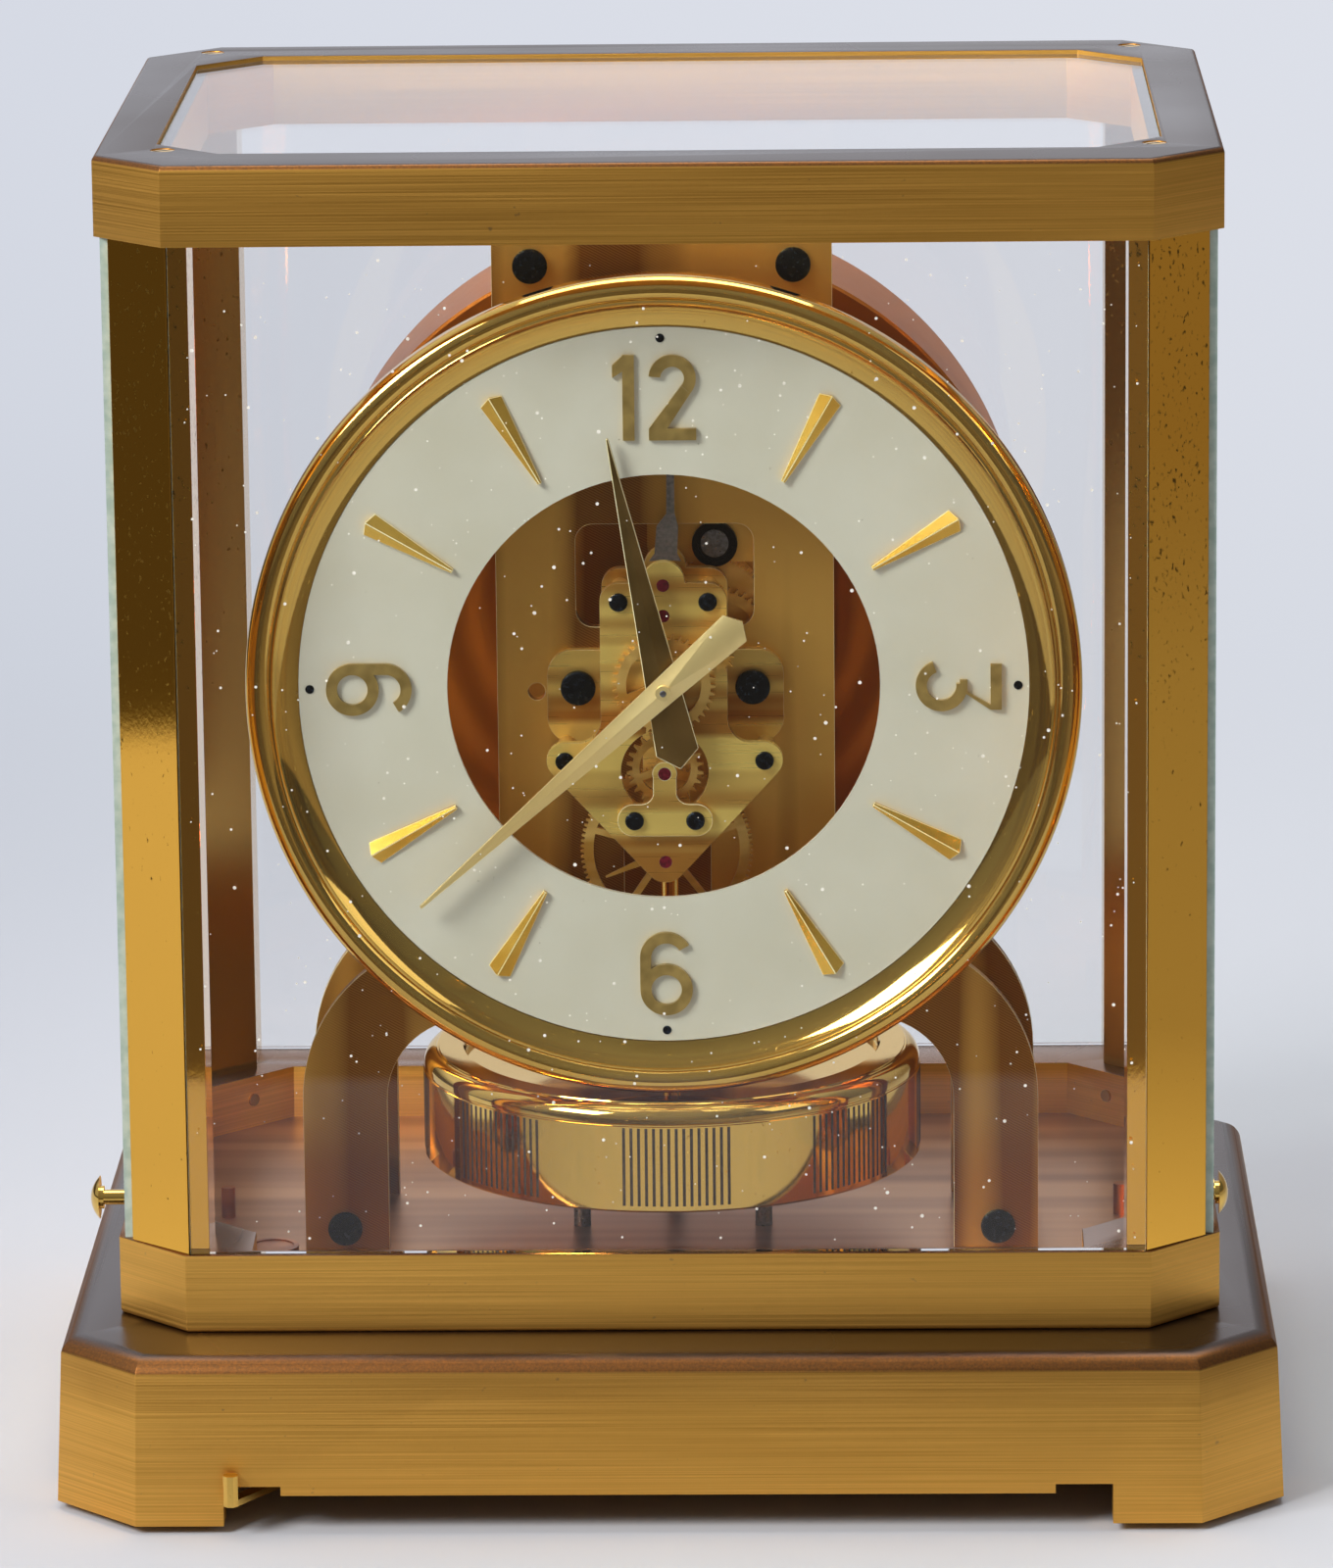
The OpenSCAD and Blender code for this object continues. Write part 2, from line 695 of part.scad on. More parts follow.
module glyph_six(w) {
    translate([0, -2.8])
        difference() {
            circle(4.5);
            circle(4.5 - w);
        }
    translate([0, 2.8]) arc_part(4.5, w, 30, 110);
    translate([0, 2.8]) arc_part(4.5, w, 100, 185);
    translate([-4.5, -2.8]) square([w, 5.6]);
}

module numerals() color([0.6, 0.48, 0.2]) in_case()
    slab(fp - 18.9, fp - 18) at_dial() {
        translate([-5.4, num_r]) glyph_one(2);
        translate([2, num_r]) glyph_two(2);
        translate([num_r, 0]) rotate(-90) glyph_three(1.9);
        translate([0, -num_r]) glyph_six(1.9);
        translate([-num_r, 0]) rotate(270) glyph_six(1.9);
    }

// ridged bar: an outline cut from a roof-shaped strip along +Y
module ridged(w, low, high, l0, l1)
    intersection() {
        linear_extrude(high + 1) children();
        translate([0, l1, 0]) rotate([90, 0, 0]) linear_extrude(l1 - l0)
            polygon([[-w, 0], [w, 0], [w, low], [0, high], [-w, low]]);
    }

module on_dial(y)
    translate([0, y, zd]) rotate([90, 0, 0]) children();

module markers() color([0.8, 0.62, 0.2]) in_case()
    on_dial(fp - 18)
        for (i = [1:11])
            if (i % 3 != 0)
                rotate([0, 0, -30 * i]) ridged(2.3, 0.25, 1.2, mark_in - 1, mark_out + 2)
                    polygon([[-0.4, mark_in], [0.4, mark_in], [2.1, mark_out - 0.8], [0, mark_out],
                        [-2.1, mark_out - 0.8]]);

module hour_hand() color([0.72, 0.56, 0.22]) in_case()
    on_dial(fp - 19.7)
        difference() {
            rotate([0, 0, -hour_at]) ridged(3.8, 0.3, 1.1, -20, 60)
                polygon([[-3.7, -11.2], [0, -14], [3.7, -11.2], [0.2, hour_l], [-0.2, hour_l]]);
            translate([0, 0, -1]) cylinder(h = 4, r = 1.9);
        }

module minute_hand() color([0.78, 0.62, 0.3]) in_case()
    on_dial(fp - 21.3)
        difference() {
            rotate([0, 0, -minute_at]) ridged(3.1, 0.35, 1.2, -20, 60)
                polygon([[-3, -16.4], [0, -18.2], [3, -16.4], [0.25, minute_l], [-0.25, minute_l]]);
            translate([0, 0, -1]) cylinder(h = 4, r = 0.8);
        }

module hand_nut() color([0.8, 0.66, 0.35]) in_case()
    difference() {
        rod(0, zd, 1.3, fp - 23.3, fp - 22.5);
        rod(0, zd, 0.8, fp - 23, fp - 22);
    }

// wheels

module arbor(p, r, d0, d1)
    rod(p[0], zd + p[1], r, fp - d1, fp - d0);

// flat shape on an arbor, from d0 to d1 in front of the front plate
module wheel_at(p, d0, d1)
    slab(fp - d1, fp - d0) at_dial() translate(p) children();

module hour_wheel() color([0.8, 0.65, 0.32]) in_case() {
    wheel_at([0, 0], 15.5, 16.5)
        difference() {
            spoked(6.4, 3, 4, 1.4) gear(40, motion_d * 40 / 50, motion_a);
            circle(1.2 + play);
        }
    wheel_at([0, 0], 16.4, 20.9)
        difference() {
            circle(1.9);
            circle(1.2 + play);
        }
}

module minute_arbor() color([0.8, 0.65, 0.32]) in_case() {
    arbor([0, 0], 1.2, -6.2, 21.3);
    arbor([0, 0], 0.8, 21, 23);
    wheel_at([0, 0], -6, -5) gear(12, barrel_d * 12 / 72, barrel_a);
    wheel_at([0, 0], -4.2, -3.2) gear(12, motion_d * 12 / 48, motion_a);
    wheel_at([0, 0], 8.2, 9.2) spoked(7.6, 3, 5, 1.6) gear(72, escape_up * 72 / 90, 90);
    wheel_at([0, 0], 11.4, 12.4) spoked(7.4, 3, 5, 1.6) gear(36, third_down * 36 / 60, -90);
}

module motion_wheel() color([0.8, 0.65, 0.32]) in_case() {
    arbor(motion, 0.5, -4.4, 16.7);
    wheel_at(motion, -4.2, -3.2) spoked(5.8, 2, 4, 1.4) gear(36, motion_d * 36 / 48, motion_a + 185);
    wheel_at(motion, 15.5, 16.5) gear(10, motion_d * 10 / 50, motion_a + 198);
}

module third_wheel() color([0.8, 0.65, 0.32]) in_case() {
    arbor(third, 0.6, 0.4, 16.2);
    wheel_at(third, 5.1, 6.3) gear(8, lower_down * 8 / 105, -90);
    wheel_at(third, 11.4, 12.4) spoked(4.4, 1.8, 4, 1.2) gear(24, third_down * 24 / 60, 97.5);
}

module lower_wheel() color([0.8, 0.65, 0.32]) in_case() {
    arbor(lower, 0.6, 0.4, 14.6);
    wheel_at(lower, 5.2, 6.2) spoked(12.6, 2.2, 5, 1.1) gear(97, lower_down * 97 / 105, 90 + 180 / 97);
}

module pointer() color([0.85, 0.7, 0.35]) in_case()
    wheel_at(lower, 7, 7.5)
        difference() {
            union() {
                circle(1.4);
                rotate(203) polygon([[0, -0.9], [11.4, -0.15], [11.4, 0.15], [0, 0.9]]);
            }
            circle(0.6);
        }

module escape_wheel() color([0.8, 0.65, 0.32]) in_case() {
    arbor(escape, 0.6, 0.4, 14.6);
    wheel_at(escape, 6.8, 7.6) {
        difference() {
            circle(3.2);
            difference() {
                circle(2.5);
                circle(1.2);
                for (a = [0:90:270])
                    rotate(a) translate([0, -0.4]) square([3, 0.8]);
            }
        }
        for (i = [0:14])
            rotate(i * 24) polygon([[3, -0.5], [3.1, 0.5], [4.12, 0.75], [4.12, 0.55]]);
    }
    wheel_at(escape, 8.2, 9.2) gear(18, escape_up * 18 / 90, 280);
}

module pallet_lever() color([0.45, 0.45, 0.48]) in_case() {
    arbor(pallet, 0.5, 0.4, 14.6);
    wheel_at(pallet, 6.8, 7.6) {
        circle(0.95);
        for (s = [-1, 1])
            polygon([[0, 0.7], [s * 4.4, -1.2], [s * 4.5, -3], [s * 3.9, -2.8], [s * 3.6, -1.6], [0, -0.7]]);
    }
}

module fork_blade() color([0.25, 0.25, 0.28]) in_case()
    wheel_at(pallet, 4.4, 5.2)
        difference() {
            union() {
                circle(1.6);
                polygon([[-1, 0], [1, 0], [1, 2.4], [2.9, 2.2], [2.3, 3.4], [2.5, 8.2], [1.9, 10.4], [1.9, 31],
                    [0.7, 31], [0.5, 10.4], [-1.2, 8.2], [-1.6, 3.4], [-2.5, 2.2], [-1, 2.4]]);
            }
            circle(0.5);
        }

// movement frame

module bridge_head() {
    translate([-10.8, -12]) square([21.6, 26.2]);
    for (s = [-1, 1])
        translate([s * 7.6, 14.2]) circle(3.2);
    translate([-7.6, 14]) square([15.2, 3.4]);
    translate([0.1, 17.5]) circle(3.6);
}

module movement_bridge() color([0.84, 0.66, 0.32]) in_case()
    difference() {
        wheel_at([0, 0], 13, 15) {
            bridge_head();
            for (s = [-1, 1]) {
                translate([s * 17.05, -13.5]) circle(3.1);
                difference() {
                    translate([s > 0 ? 10.7 : -14.9, -10.5]) square([4.2, 4.1]);
                    translate([s * 14.9, -6.4]) circle(4.1);
                }
            }
            polygon([[-19.2, -15.8], [-2.7, lower[1] - 2.4], [2.7, lower[1] - 2.4], [19.2, -15.8],
                [17.05, -10.4], [-17.05, -10.4]]);
            translate(lower) circle(3.6);
        }
        bores(12.9, 15.1);
        arbor(third, 7.5, 12.9, 15.1);
        for (p = [escape, pallet, lower])
            arbor(p, 1.1, 13.6, 15.1);
        for (p = post_at)
            arbor(p, 0.8, 12.9, 15.1);
        for (s = [-1, 1])
            arbor([s * 5.2, -23.6], 0.8, 12.9, 15.1);
    }

post_at = [[-7.6, 14.2], [7.6, 14.2], [-17.05, -13.5], [17.05, -13.5]];

// running holes of the arbors
module bores(d0, d1) {
    arbor([0, 0], 1.2 + play, d0, d1);
    arbor(motion, 0.5 + play, d0, d1);
    for (p = [third, lower, escape])
        arbor(p, 0.6 + play, d0, d1);
    arbor(pallet, 0.5 + play, d0, d1);
}

module movement_plate() color([0.8, 0.6, 0.3]) in_case()
    difference() {
        wheel_at([0, 0], 0, 2.2) {
            bridge_head();
            for (s = [-1, 1])
                soft_square(s > 0 ? 5 : -20.3, -13.3, s > 0 ? 20.3 : -5, 3.1, 4.5);
            translate([-4, lower[1]]) square([8, 20]);
            translate(lower) circle(4);
        }
        bores(-0.1, 2.3);
        for (s = [-1, 1])
            arbor([s * 15, -3.4], 1.6, -0.1, 2.3);
    }

module movement_posts() color([0.8, 0.62, 0.3]) in_case()
    for (p = post_at)
        difference() {
            arbor(p, 1.6, 2.2, 13);
            arbor(p, 0.8, 10, 13.1);
        }

// six small screws: four for the bridge and two for the cock
module bridge_screws() color([0.1, 0.13, 0.2]) in_case() {
    for (p = post_at) {
        arbor(p, 1.6, 15, 15.9);
        arbor(p, 0.8, 10.4, 15.1);
    }
    for (s = [-1, 1]) {
        arbor([s * 5.2, -23.6], 1.6, 16.6, 17.5);
        arbor([s * 5.2, -23.6], 0.8, 13.2, 16.7);
    }
}

module plate_bolts() color([0.1, 0.13, 0.2]) in_case()
    for (s = [-1, 1]) {
        arbor([s * 15, -3.4], 3, 2.2, 3.6);
        arbor([s * 15, -3.4], 1.6, -2.3, 2.3);
    }

module wheel_cock() color([0.84, 0.66, 0.32]) in_case()
    difference() {
        wheel_at([0, 0], 15, 16.6) {
            soft_square(-8.1, -26.4, 8.1, -20.8, 2.7);
            translate([-2, -23]) square([4, 7.5]);
            translate(third) circle(2.1);
            for (s = [-1, 1])
                difference() {
                    translate([s > 0 ? 1.9 : -4.1, -20.9]) square([2.2, 2.3]);
                    translate([s * 4.1, -18.6]) circle(2.2);
                }
        }
        arbor(third, 1.1, 14.9, 16.7);
        for (s = [-1, 1])
            arbor([s * 5.2, -23.6], 0.8, 14.9, 16.7);
    }

module jewels() color([0.6, 0.05, 0.15]) in_case() {
    for (p = [escape, pallet, lower])
        jewel(p, p == pallet ? 0.5 : 0.6, 13.6, 15);
    jewel(third, 0.6, 15, 16.6);
}

module jewel(p, r, d0, d1)
    difference() {
        arbor(p, 1.1, d0, d1);
        arbor(p, r + play, d0 - 1, d1 - 0.2);
    }

module barrel() color([0.8, 0.62, 0.3]) in_case()
    difference() {
        union() {
            wheel_at(barrel, -6, -5) gear(60, barrel_d * 60 / 72, barrel_a + 183);
            arbor(barrel, 8.6, -15.5, -5.9);
        }
        arbor(barrel, 1.5 + play, -16, -4);
    }

module barrel_arbor() color([0.5, 0.5, 0.52]) in_case() {
    rod(barrel[0], zd + barrel[1], 1.5, fp + 4.8, rp);
    rod(barrel[0], zd + barrel[1], 2.6, fp + 15.6, fp + 17);
}

// plate behind the front plate's window, with a dark bush on it
module barrel_bridge() color([0.78, 0.6, 0.3]) in_case() {
    slab(fp + plate_t, fp + plate_t + 1.6) at_dial() soft_square(-3, 17.5, 24, 32, 3);
    wheel_at([8.6, 20.8], -2.6, -1.2)
        difference() {
            circle(3.9);
            circle(2.9);
        }
    arbor([8.6, 20.8], 2.4, -2.6, -1.9);
}

// drum and pendulum

module drum() color([0.85, 0.68, 0.4]) in_case()
    translate([0, drum_y, drum_z]) rotate([-90, 0, 0])
        difference() {
            union() {
                cylinder(h = drum_d, r = drum_r);
                translate([0, 0, -1.5]) cylinder(h = 3, r = 20);
            }
            translate([0, 0, 1.5]) cylinder(h = drum_d, r = drum_r - 1.2);
        }

module drum_cover() color([0.85, 0.68, 0.4]) in_case()
    translate([0, drum_y + drum_d - 1.5, drum_z]) rotate([-90, 0, 0]) cylinder(h = 1.5, r = drum_r - 1.2);

// corrugated capsule that grows and shrinks with the temperature
module bellows() color([0.75, 0.7, 0.6]) in_case()
    translate([0, drum_y + 1.5, drum_z]) rotate([-90, 0, 0]) {
        cylinder(h = drum_d - 7, r = drum_r - 16.8);
        for (i = [0:3])
            translate([0, 0, 3 + i * (drum_d - 13) / 3]) cylinder(h = 1.6, r = drum_r - 10.8);
    }

module pendulum() color([0.85, 0.68, 0.35]) in_case()
    translate([0, pend_y, pend_bot]) {
        difference() {
            rotate_extrude() pendulum_profile();
            for (g = [0:7], i = [0:lines - 1])
                rotate([0, 0, 2 + g * 45 + (i - (lines - 1) / 2) * 1.7])
                    translate([-0.25, -pend_r - 1, 2]) cube([0.5, 1.3, pend_h - 6.2]);
        }
        translate([0, 0, pend_h - 4]) cylinder(h = 5, r = 6);
        translate([0, 0, pend_h]) cylinder(h = 30, r = 1.5);
    }

module pendulum_profile()
    difference() {
        union() {
            square([pend_r, pend_h - 2.6]);
            square([pend_r - 2.6, pend_h]);
            translate([pend_r - 2.6, pend_h - 2.6]) circle(2.6);
        }
        translate([-1, pend_h - 2]) square([pend_r - 7.3, 5]);
    }

// upper clamp and the torsion wire down to the pendulum's staff
module suspension() color([0.7, 0.7, 0.72]) in_case() {
    post(0, pend_y, 2.5, plate_top - 17, plate_top - 13);
    post(0, pend_y, 0.2, pend_bot + pend_h + 30, plate_top - 16.9);
}

// parts

plinth();
foot_left();
foot_right();
foot_rear();
case_screws();
lock_lever();
lever_pivot();
lift_plate();
base_plate();
sill();
sill_plugs();
pillars();
top_frame();
top_glass();
front_glass();
rear_glass();
side_glasses();
top_screws();
knob_left();
knob_right();
knob_bushes();
level();
floor_posts();
front_plate();
rear_plate();
plate_screws();
blocks();
bezel();
dial();
dial_carrier();
dial_pins();
numerals();
markers();
hour_hand();
minute_hand();
hand_nut();
hour_wheel();
minute_arbor();
motion_wheel();
third_wheel();
lower_wheel();
pointer();
escape_wheel();
pallet_lever();
fork_blade();
movement_plate();
movement_bridge();
movement_posts();
bridge_screws();
plate_bolts();
wheel_cock();
jewels();
barrel();
barrel_arbor();
barrel_bridge();
drum();
drum_cover();
bellows();
pendulum();
suspension();
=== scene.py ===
# %% [markdown]
# # A clock driven by changes of temperature
#
# The real object is a mantel clock in a glass case. A bellows in a round drum behind the dial
# swells and shrinks with the room's temperature and winds the spring, and a heavy ring, hung on
# a thin wire, turns slowly to and fro under the dial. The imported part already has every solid
# piece in its place. Everything here is about looks: the finishes, the fine edges and the light.

import json
import math

import bmesh
import bpy
import numpy as np
from mathutils import Matrix, Vector


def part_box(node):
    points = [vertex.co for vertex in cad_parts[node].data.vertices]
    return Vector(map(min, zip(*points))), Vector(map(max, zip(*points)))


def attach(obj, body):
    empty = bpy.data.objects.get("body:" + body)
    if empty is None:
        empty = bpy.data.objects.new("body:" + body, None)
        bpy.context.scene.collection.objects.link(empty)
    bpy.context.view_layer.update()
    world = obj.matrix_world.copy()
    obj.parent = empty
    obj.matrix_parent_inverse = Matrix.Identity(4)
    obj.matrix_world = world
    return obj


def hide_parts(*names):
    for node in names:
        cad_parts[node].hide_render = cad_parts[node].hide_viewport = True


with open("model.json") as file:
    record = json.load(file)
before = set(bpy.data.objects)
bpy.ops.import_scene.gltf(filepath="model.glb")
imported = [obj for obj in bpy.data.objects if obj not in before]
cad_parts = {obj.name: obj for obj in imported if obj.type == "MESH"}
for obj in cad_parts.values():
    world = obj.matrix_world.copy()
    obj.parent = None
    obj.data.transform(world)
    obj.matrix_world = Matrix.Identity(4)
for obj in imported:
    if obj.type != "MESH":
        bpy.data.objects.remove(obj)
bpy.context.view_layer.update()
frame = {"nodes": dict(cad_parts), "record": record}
nodes = frame["nodes"]
body_of = {name: body for body, names in frame["record"]["behaviour"]["bodies"].items() for name in names}

# %% [markdown]
# ## Small helpers
#
# Colours are easiest to read as the hex numbers of a paint chart, but light adds up in linear
# values, so one function turns hex to linear. Another adds a single node to a tree, with its
# settings and links, and serves the finishes and the Geometry Nodes alike. Where it is given a
# node as a value, it joins that node's first live output, so a chain of nodes reads like a list.
#
# Three kinds come up so often that their inputs go by number. Math takes its values as 0 and 1.
# Map Range takes its value as 0, turns the range from 1 to 2 into the range from 3 to 4, or into
# 0 to 1 where these are left out, and holds it there. Mix takes its two colours as 6 and 7.

# %% Colour and node helpers
def linear(code):
    """Linear red, green, blue and 1 for a colour written as RRGGBB."""
    parts = [int(code[i:i + 2], 16) / 255 for i in (0, 2, 4)]
    return [c / 12.92 if c <= 0.04045 else ((c + 0.055) / 1.055) ** 2.4 for c in parts] + [1.0]


def add(tree, kind, inputs=None, **settings):
    """Adds one node, sets its properties, and fills or links its inputs."""
    node = tree.nodes.new(kind)
    for key, value in settings.items():
        setattr(node, key, value)
    for key, value in (inputs or {}).items():
        if isinstance(value, bpy.types.Node):
            value = next(socket for socket in value.outputs if socket.enabled)
        if isinstance(value, bpy.types.NodeSocket):
            tree.links.new(value, node.inputs[key])
        else:
            node.inputs[key].default_value = value
    return node


def blank(name):
    """A material with an empty tree, and that tree."""
    finish = bpy.data.materials.new(name)
    finish.use_nodes = True
    finish.node_tree.nodes.clear()
    return finish, finish.node_tree


print("brass in linear values:", [round(c, 3) for c in linear("D39E45")])

# %% [markdown]
# ## Camera
#
# The photograph was taken from a little above and almost straight in front with a long lens.
# The camera was solved from the outlines of the plinth, the sill, the top frame and the dial
# together, so it stands here with those numbers: a place in metres, three small angles in
# radians, and the focal length and the shift in pixels of the photograph. The Standard view
# shows each colour as it is written, where the default would soften it.

# %% Place the camera
PLACE = (0.029895, -1.435137, 0.445988)
YAW, PITCH, ROLL = 0.026995, -0.228146, 0.011918
FOCAL_PIXELS = 8543.04
SHIFT_PIXELS = (47.637, -7.188)
FRAME_HEIGHT = 1600
SENSOR = 36

turn = Matrix.Rotation(YAW, 3, "Z") @ Matrix.Rotation(PITCH, 3, "X") @ Matrix.Rotation(ROLL, 3, "Y")
axes = Matrix((turn.col[0], turn.col[2], -turn.col[1])).transposed()
lens = bpy.data.cameras.new("photo_camera")
lens.sensor_fit = "VERTICAL"
lens.sensor_height = SENSOR
lens.lens = SENSOR * FOCAL_PIXELS / FRAME_HEIGHT
lens.shift_x = SHIFT_PIXELS[0] / FRAME_HEIGHT
lens.shift_y = SHIFT_PIXELS[1] / FRAME_HEIGHT
lens.clip_start = 0.05
lens.clip_end = 20
camera = bpy.data.objects.new("photo_camera", lens)
bpy.context.scene.collection.objects.link(camera)
camera.matrix_world = Matrix.Translation(PLACE) @ axes.to_4x4()
bpy.context.scene.camera = camera
bpy.context.scene.view_settings.view_transform = "Standard"
print("camera", [round(c, 3) for c in camera.location], "lens", round(lens.lens, 1), "mm")

# %% [markdown]
# ## Floor and backdrop
#
# The clock stands on a pale sweep of paper that rises behind it. It is one sheet, bent from a
# profile, so no line shows where floor turns to wall. It lies a hair below the clock's feet.

# %% Build the sweep
ENDS = {"front": -0.335, "left": -0.68, "right": 0.9}  # where mirrored rays find no more paper
NEAREST, HALF_WIDTH, TOP = -3.0, 2.6, 3.2
WALL, BEND = 0.9, 0.6  # where the bend starts, and its radius
HAIR = 0.0002

profile = [(NEAREST, 0.0), (ENDS["front"], 0.0), (WALL, 0.0)]
profile += [(WALL + BEND * math.sin(a), BEND - BEND * math.cos(a)) for a in np.linspace(0.1, math.pi / 2, 12)]
profile += [(WALL + BEND, TOP)]
corners = [(x, y, z - HAIR) for y, z in profile for x in (-HALF_WIDTH, HALF_WIDTH)]
faces = [(2 * i, 2 * i + 1, 2 * i + 3, 2 * i + 2) for i in range(len(profile) - 1)]
sweep_mesh = bpy.data.meshes.new("paper_sweep")
sweep_mesh.from_pydata(corners, [], faces)
sweep_mesh.polygons.foreach_set("use_smooth", [True] * len(faces))
sweep = bpy.data.objects.new("paper_sweep", sweep_mesh)
bpy.context.scene.collection.objects.link(sweep)
print("sweep of", len(faces), "faces")

# %% [markdown]
# ## White paper
#
# Near the clock the paper takes light and shadow as paper does, and it is painted darker towards the left. Far
# behind it, it shows its own colour to the camera, to mirrors and through glass, whatever light falls on it, painted
# darker to the left and nearer the clock as painted shade.
#
# The polished parts mirror the paper, and where the paper ends they mirror a dim room. That is
# the line across the front glass, and what makes the upper half of the pillars dark. So rays
# that come from a mirror find the room past the paper's front, left and right ends. In front of the clock and to its
# right they find a dark colour in place of the floor, a painted shade in the reflections. Seen from behind the paper
# is clear, so the clock's back shows too.

# %% Where a ray meets the paper
paper, tree = blank("white_paper")
rays = add(tree, "ShaderNodeLightPath").outputs
at = add(tree, "ShaderNodeSeparateXYZ", {"Vector": add(tree, "ShaderNodeNewGeometry")}).outputs
mirrored = add(tree, "ShaderNodeMath", {0: rays["Glossy Depth"], 1: 1.0}, operation="MINIMUM")

past_front = add(tree, "ShaderNodeMapRange", {0: at["Y"], 1: ENDS["front"] - 0.01, 2: ENDS["front"], 3: 1, 4: 0})
past_left = add(tree, "ShaderNodeMapRange", {0: at["X"], 1: ENDS["left"] - 0.02, 2: ENDS["left"] + 0.01, 3: 1, 4: 0})
past_right = add(tree, "ShaderNodeMapRange", {0: at["X"], 1: ENDS["right"] - 0.15, 2: ENDS["right"] + 0.15})
past = add(tree, "ShaderNodeMath", {0: past_front, 1: past_left}, operation="MAXIMUM")
past = add(tree, "ShaderNodeMath", {0: past, 1: past_right}, operation="MAXIMUM")
low_down = add(tree, "ShaderNodeMapRange", {0: at["Z"], 1: 0.3, 2: 0.9, 3: 1, 4: 0})
hidden = add(tree, "ShaderNodeMath", {0: past, 1: low_down}, operation="MULTIPLY")
hidden = add(tree, "ShaderNodeMath", {0: hidden, 1: mirrored}, operation="MULTIPLY")

# Painted shade: rays from a mirror find a dark colour in place of the floor in front of the clock and to its right.
in_front = add(tree, "ShaderNodeMapRange", {0: at["Y"], 1: -0.12, 2: -0.06, 3: 0.42, 4: 0})
to_right = add(tree, "ShaderNodeMapRange", {0: at["X"], 1: 0.13, 2: 0.4, 3: 0, 4: 0.6})
painted_floor_shade = add(tree, "ShaderNodeMath", {0: in_front, 1: to_right}, operation="MAXIMUM")
painted_floor_shade = add(tree, "ShaderNodeMath", {0: painted_floor_shade, 1: mirrored}, operation="MULTIPLY")

seen = add(tree, "ShaderNodeMath", {0: rays["Is Glossy Ray"], 1: rays["Is Transmission Ray"]}, operation="MAXIMUM")
seen = add(tree, "ShaderNodeMath", {0: rays["Is Camera Ray"], 1: seen}, operation="MAXIMUM")
far = add(tree, "ShaderNodeMapRange", {0: at["Y"], 1: 0.12, 2: 0.62})
far = add(tree, "ShaderNodeMath", {0: far, 1: seen}, operation="MULTIPLY")
print("paper ends, in metres:", ENDS)

# %% The paper's colours
# Painted shade: the lit paper is darker towards the left, and the colour it shows far behind is darker to the left
# and nearer the clock.
across = add(tree, "ShaderNodeMapRange", {0: at["X"], 1: -0.3, 2: 0.0})
lit = add(tree, "ShaderNodeMix", {"Factor": across, 6: linear("AEB0B8"), 7: linear("CDCFD4")}, data_type="RGBA")
lit = add(tree, "ShaderNodeBsdfDiffuse", {"Color": lit})

aside = add(tree, "ShaderNodeMapRange", {0: at["X"], 1: -0.4, 2: 0.1})
low_tone = add(tree, "ShaderNodeMix", {"Factor": aside, 6: linear("C0C6D2"), 7: linear("D4D8E1")}, data_type="RGBA")
high_tone = add(tree, "ShaderNodeMix", {"Factor": aside, 6: linear("D8DCE7"), 7: linear("DFE2EB")}, data_type="RGBA")
rising = add(tree, "ShaderNodeMapRange", {0: at["Y"], 1: 0.4, 2: 1.45})
own = add(tree, "ShaderNodeMix", {"Factor": rising, 6: low_tone, 7: high_tone}, data_type="RGBA")
own = add(tree, "ShaderNodeEmission", {"Color": own, "Strength": 1.0})

# The painted shade that mirrors show in place of the floor near the clock.
painted_shade = add(tree, "ShaderNodeEmission", {"Color": linear("4A3D34"), "Strength": 1.0})

across = add(tree, "ShaderNodeMapRange", {0: at["X"], 1: -0.2, 2: 0.5})
room = add(tree, "ShaderNodeMix", {"Factor": across, 6: linear("4C463F"), 7: linear("857C70")}, data_type="RGBA")
room = add(tree, "ShaderNodeEmission", {"Color": room, "Strength": 1.0})

clear = add(tree, "ShaderNodeBsdfTransparent", {"Color": (1, 1, 1, 1)})
print("lit paper, its own colour, shaded floor, dim room and clear back")

# %% The paper put together
shader = add(tree, "ShaderNodeMixShader", {0: far, 1: lit, 2: own})
shader = add(tree, "ShaderNodeMixShader", {0: painted_floor_shade, 1: shader, 2: painted_shade})
shader = add(tree, "ShaderNodeMixShader", {0: hidden, 1: shader, 2: room})
behind = add(tree, "ShaderNodeNewGeometry").outputs["Backfacing"]
shader = add(tree, "ShaderNodeMixShader", {0: behind, 1: shader, 2: clear})
add(tree, "ShaderNodeOutputMaterial", {"Surface": shader})
sweep_mesh.materials.append(paper)
print(paper.name, "of", len(tree.nodes), "nodes")

# %% [markdown]
# ## Light
#
# Plain soft studio light: one large soft box high on the left, a weaker one on the right, and
# one above and behind that lights the paper. Polished metal shows the boxes themselves, so their
# size and place draw the bright bands on the bezel, and the dim world between draws the dark ones.

# %% Soft boxes
def soft_box(name, place, aim, width, height, power):
    """A rectangular lamp of a power in watts that looks at a point."""
    lamp = bpy.data.lights.new(name, "AREA")
    lamp.shape = "RECTANGLE"
    lamp.size = width
    lamp.size_y = height
    lamp.energy = power
    box = bpy.data.objects.new(name, lamp)
    box.location = place
    box.rotation_euler = (Vector(aim) - Vector(place)).to_track_quat("-Z", "Y").to_euler()
    bpy.context.scene.collection.objects.link(box)


CLOCK = (0, 0, 0.12)
soft_box("box_left", (-1.25, -1.15, 1.35), CLOCK, 0.8, 0.8, 40.5)
soft_box("box_right", (1.45, -0.9, 1.1), CLOCK, 0.7, 0.9, 2.2)
soft_box("box_above", (0.0, 0.35, 1.9), (0, 0.3, 0), 1.6, 1.0, 21)
print("soft boxes:", len(bpy.data.lights))

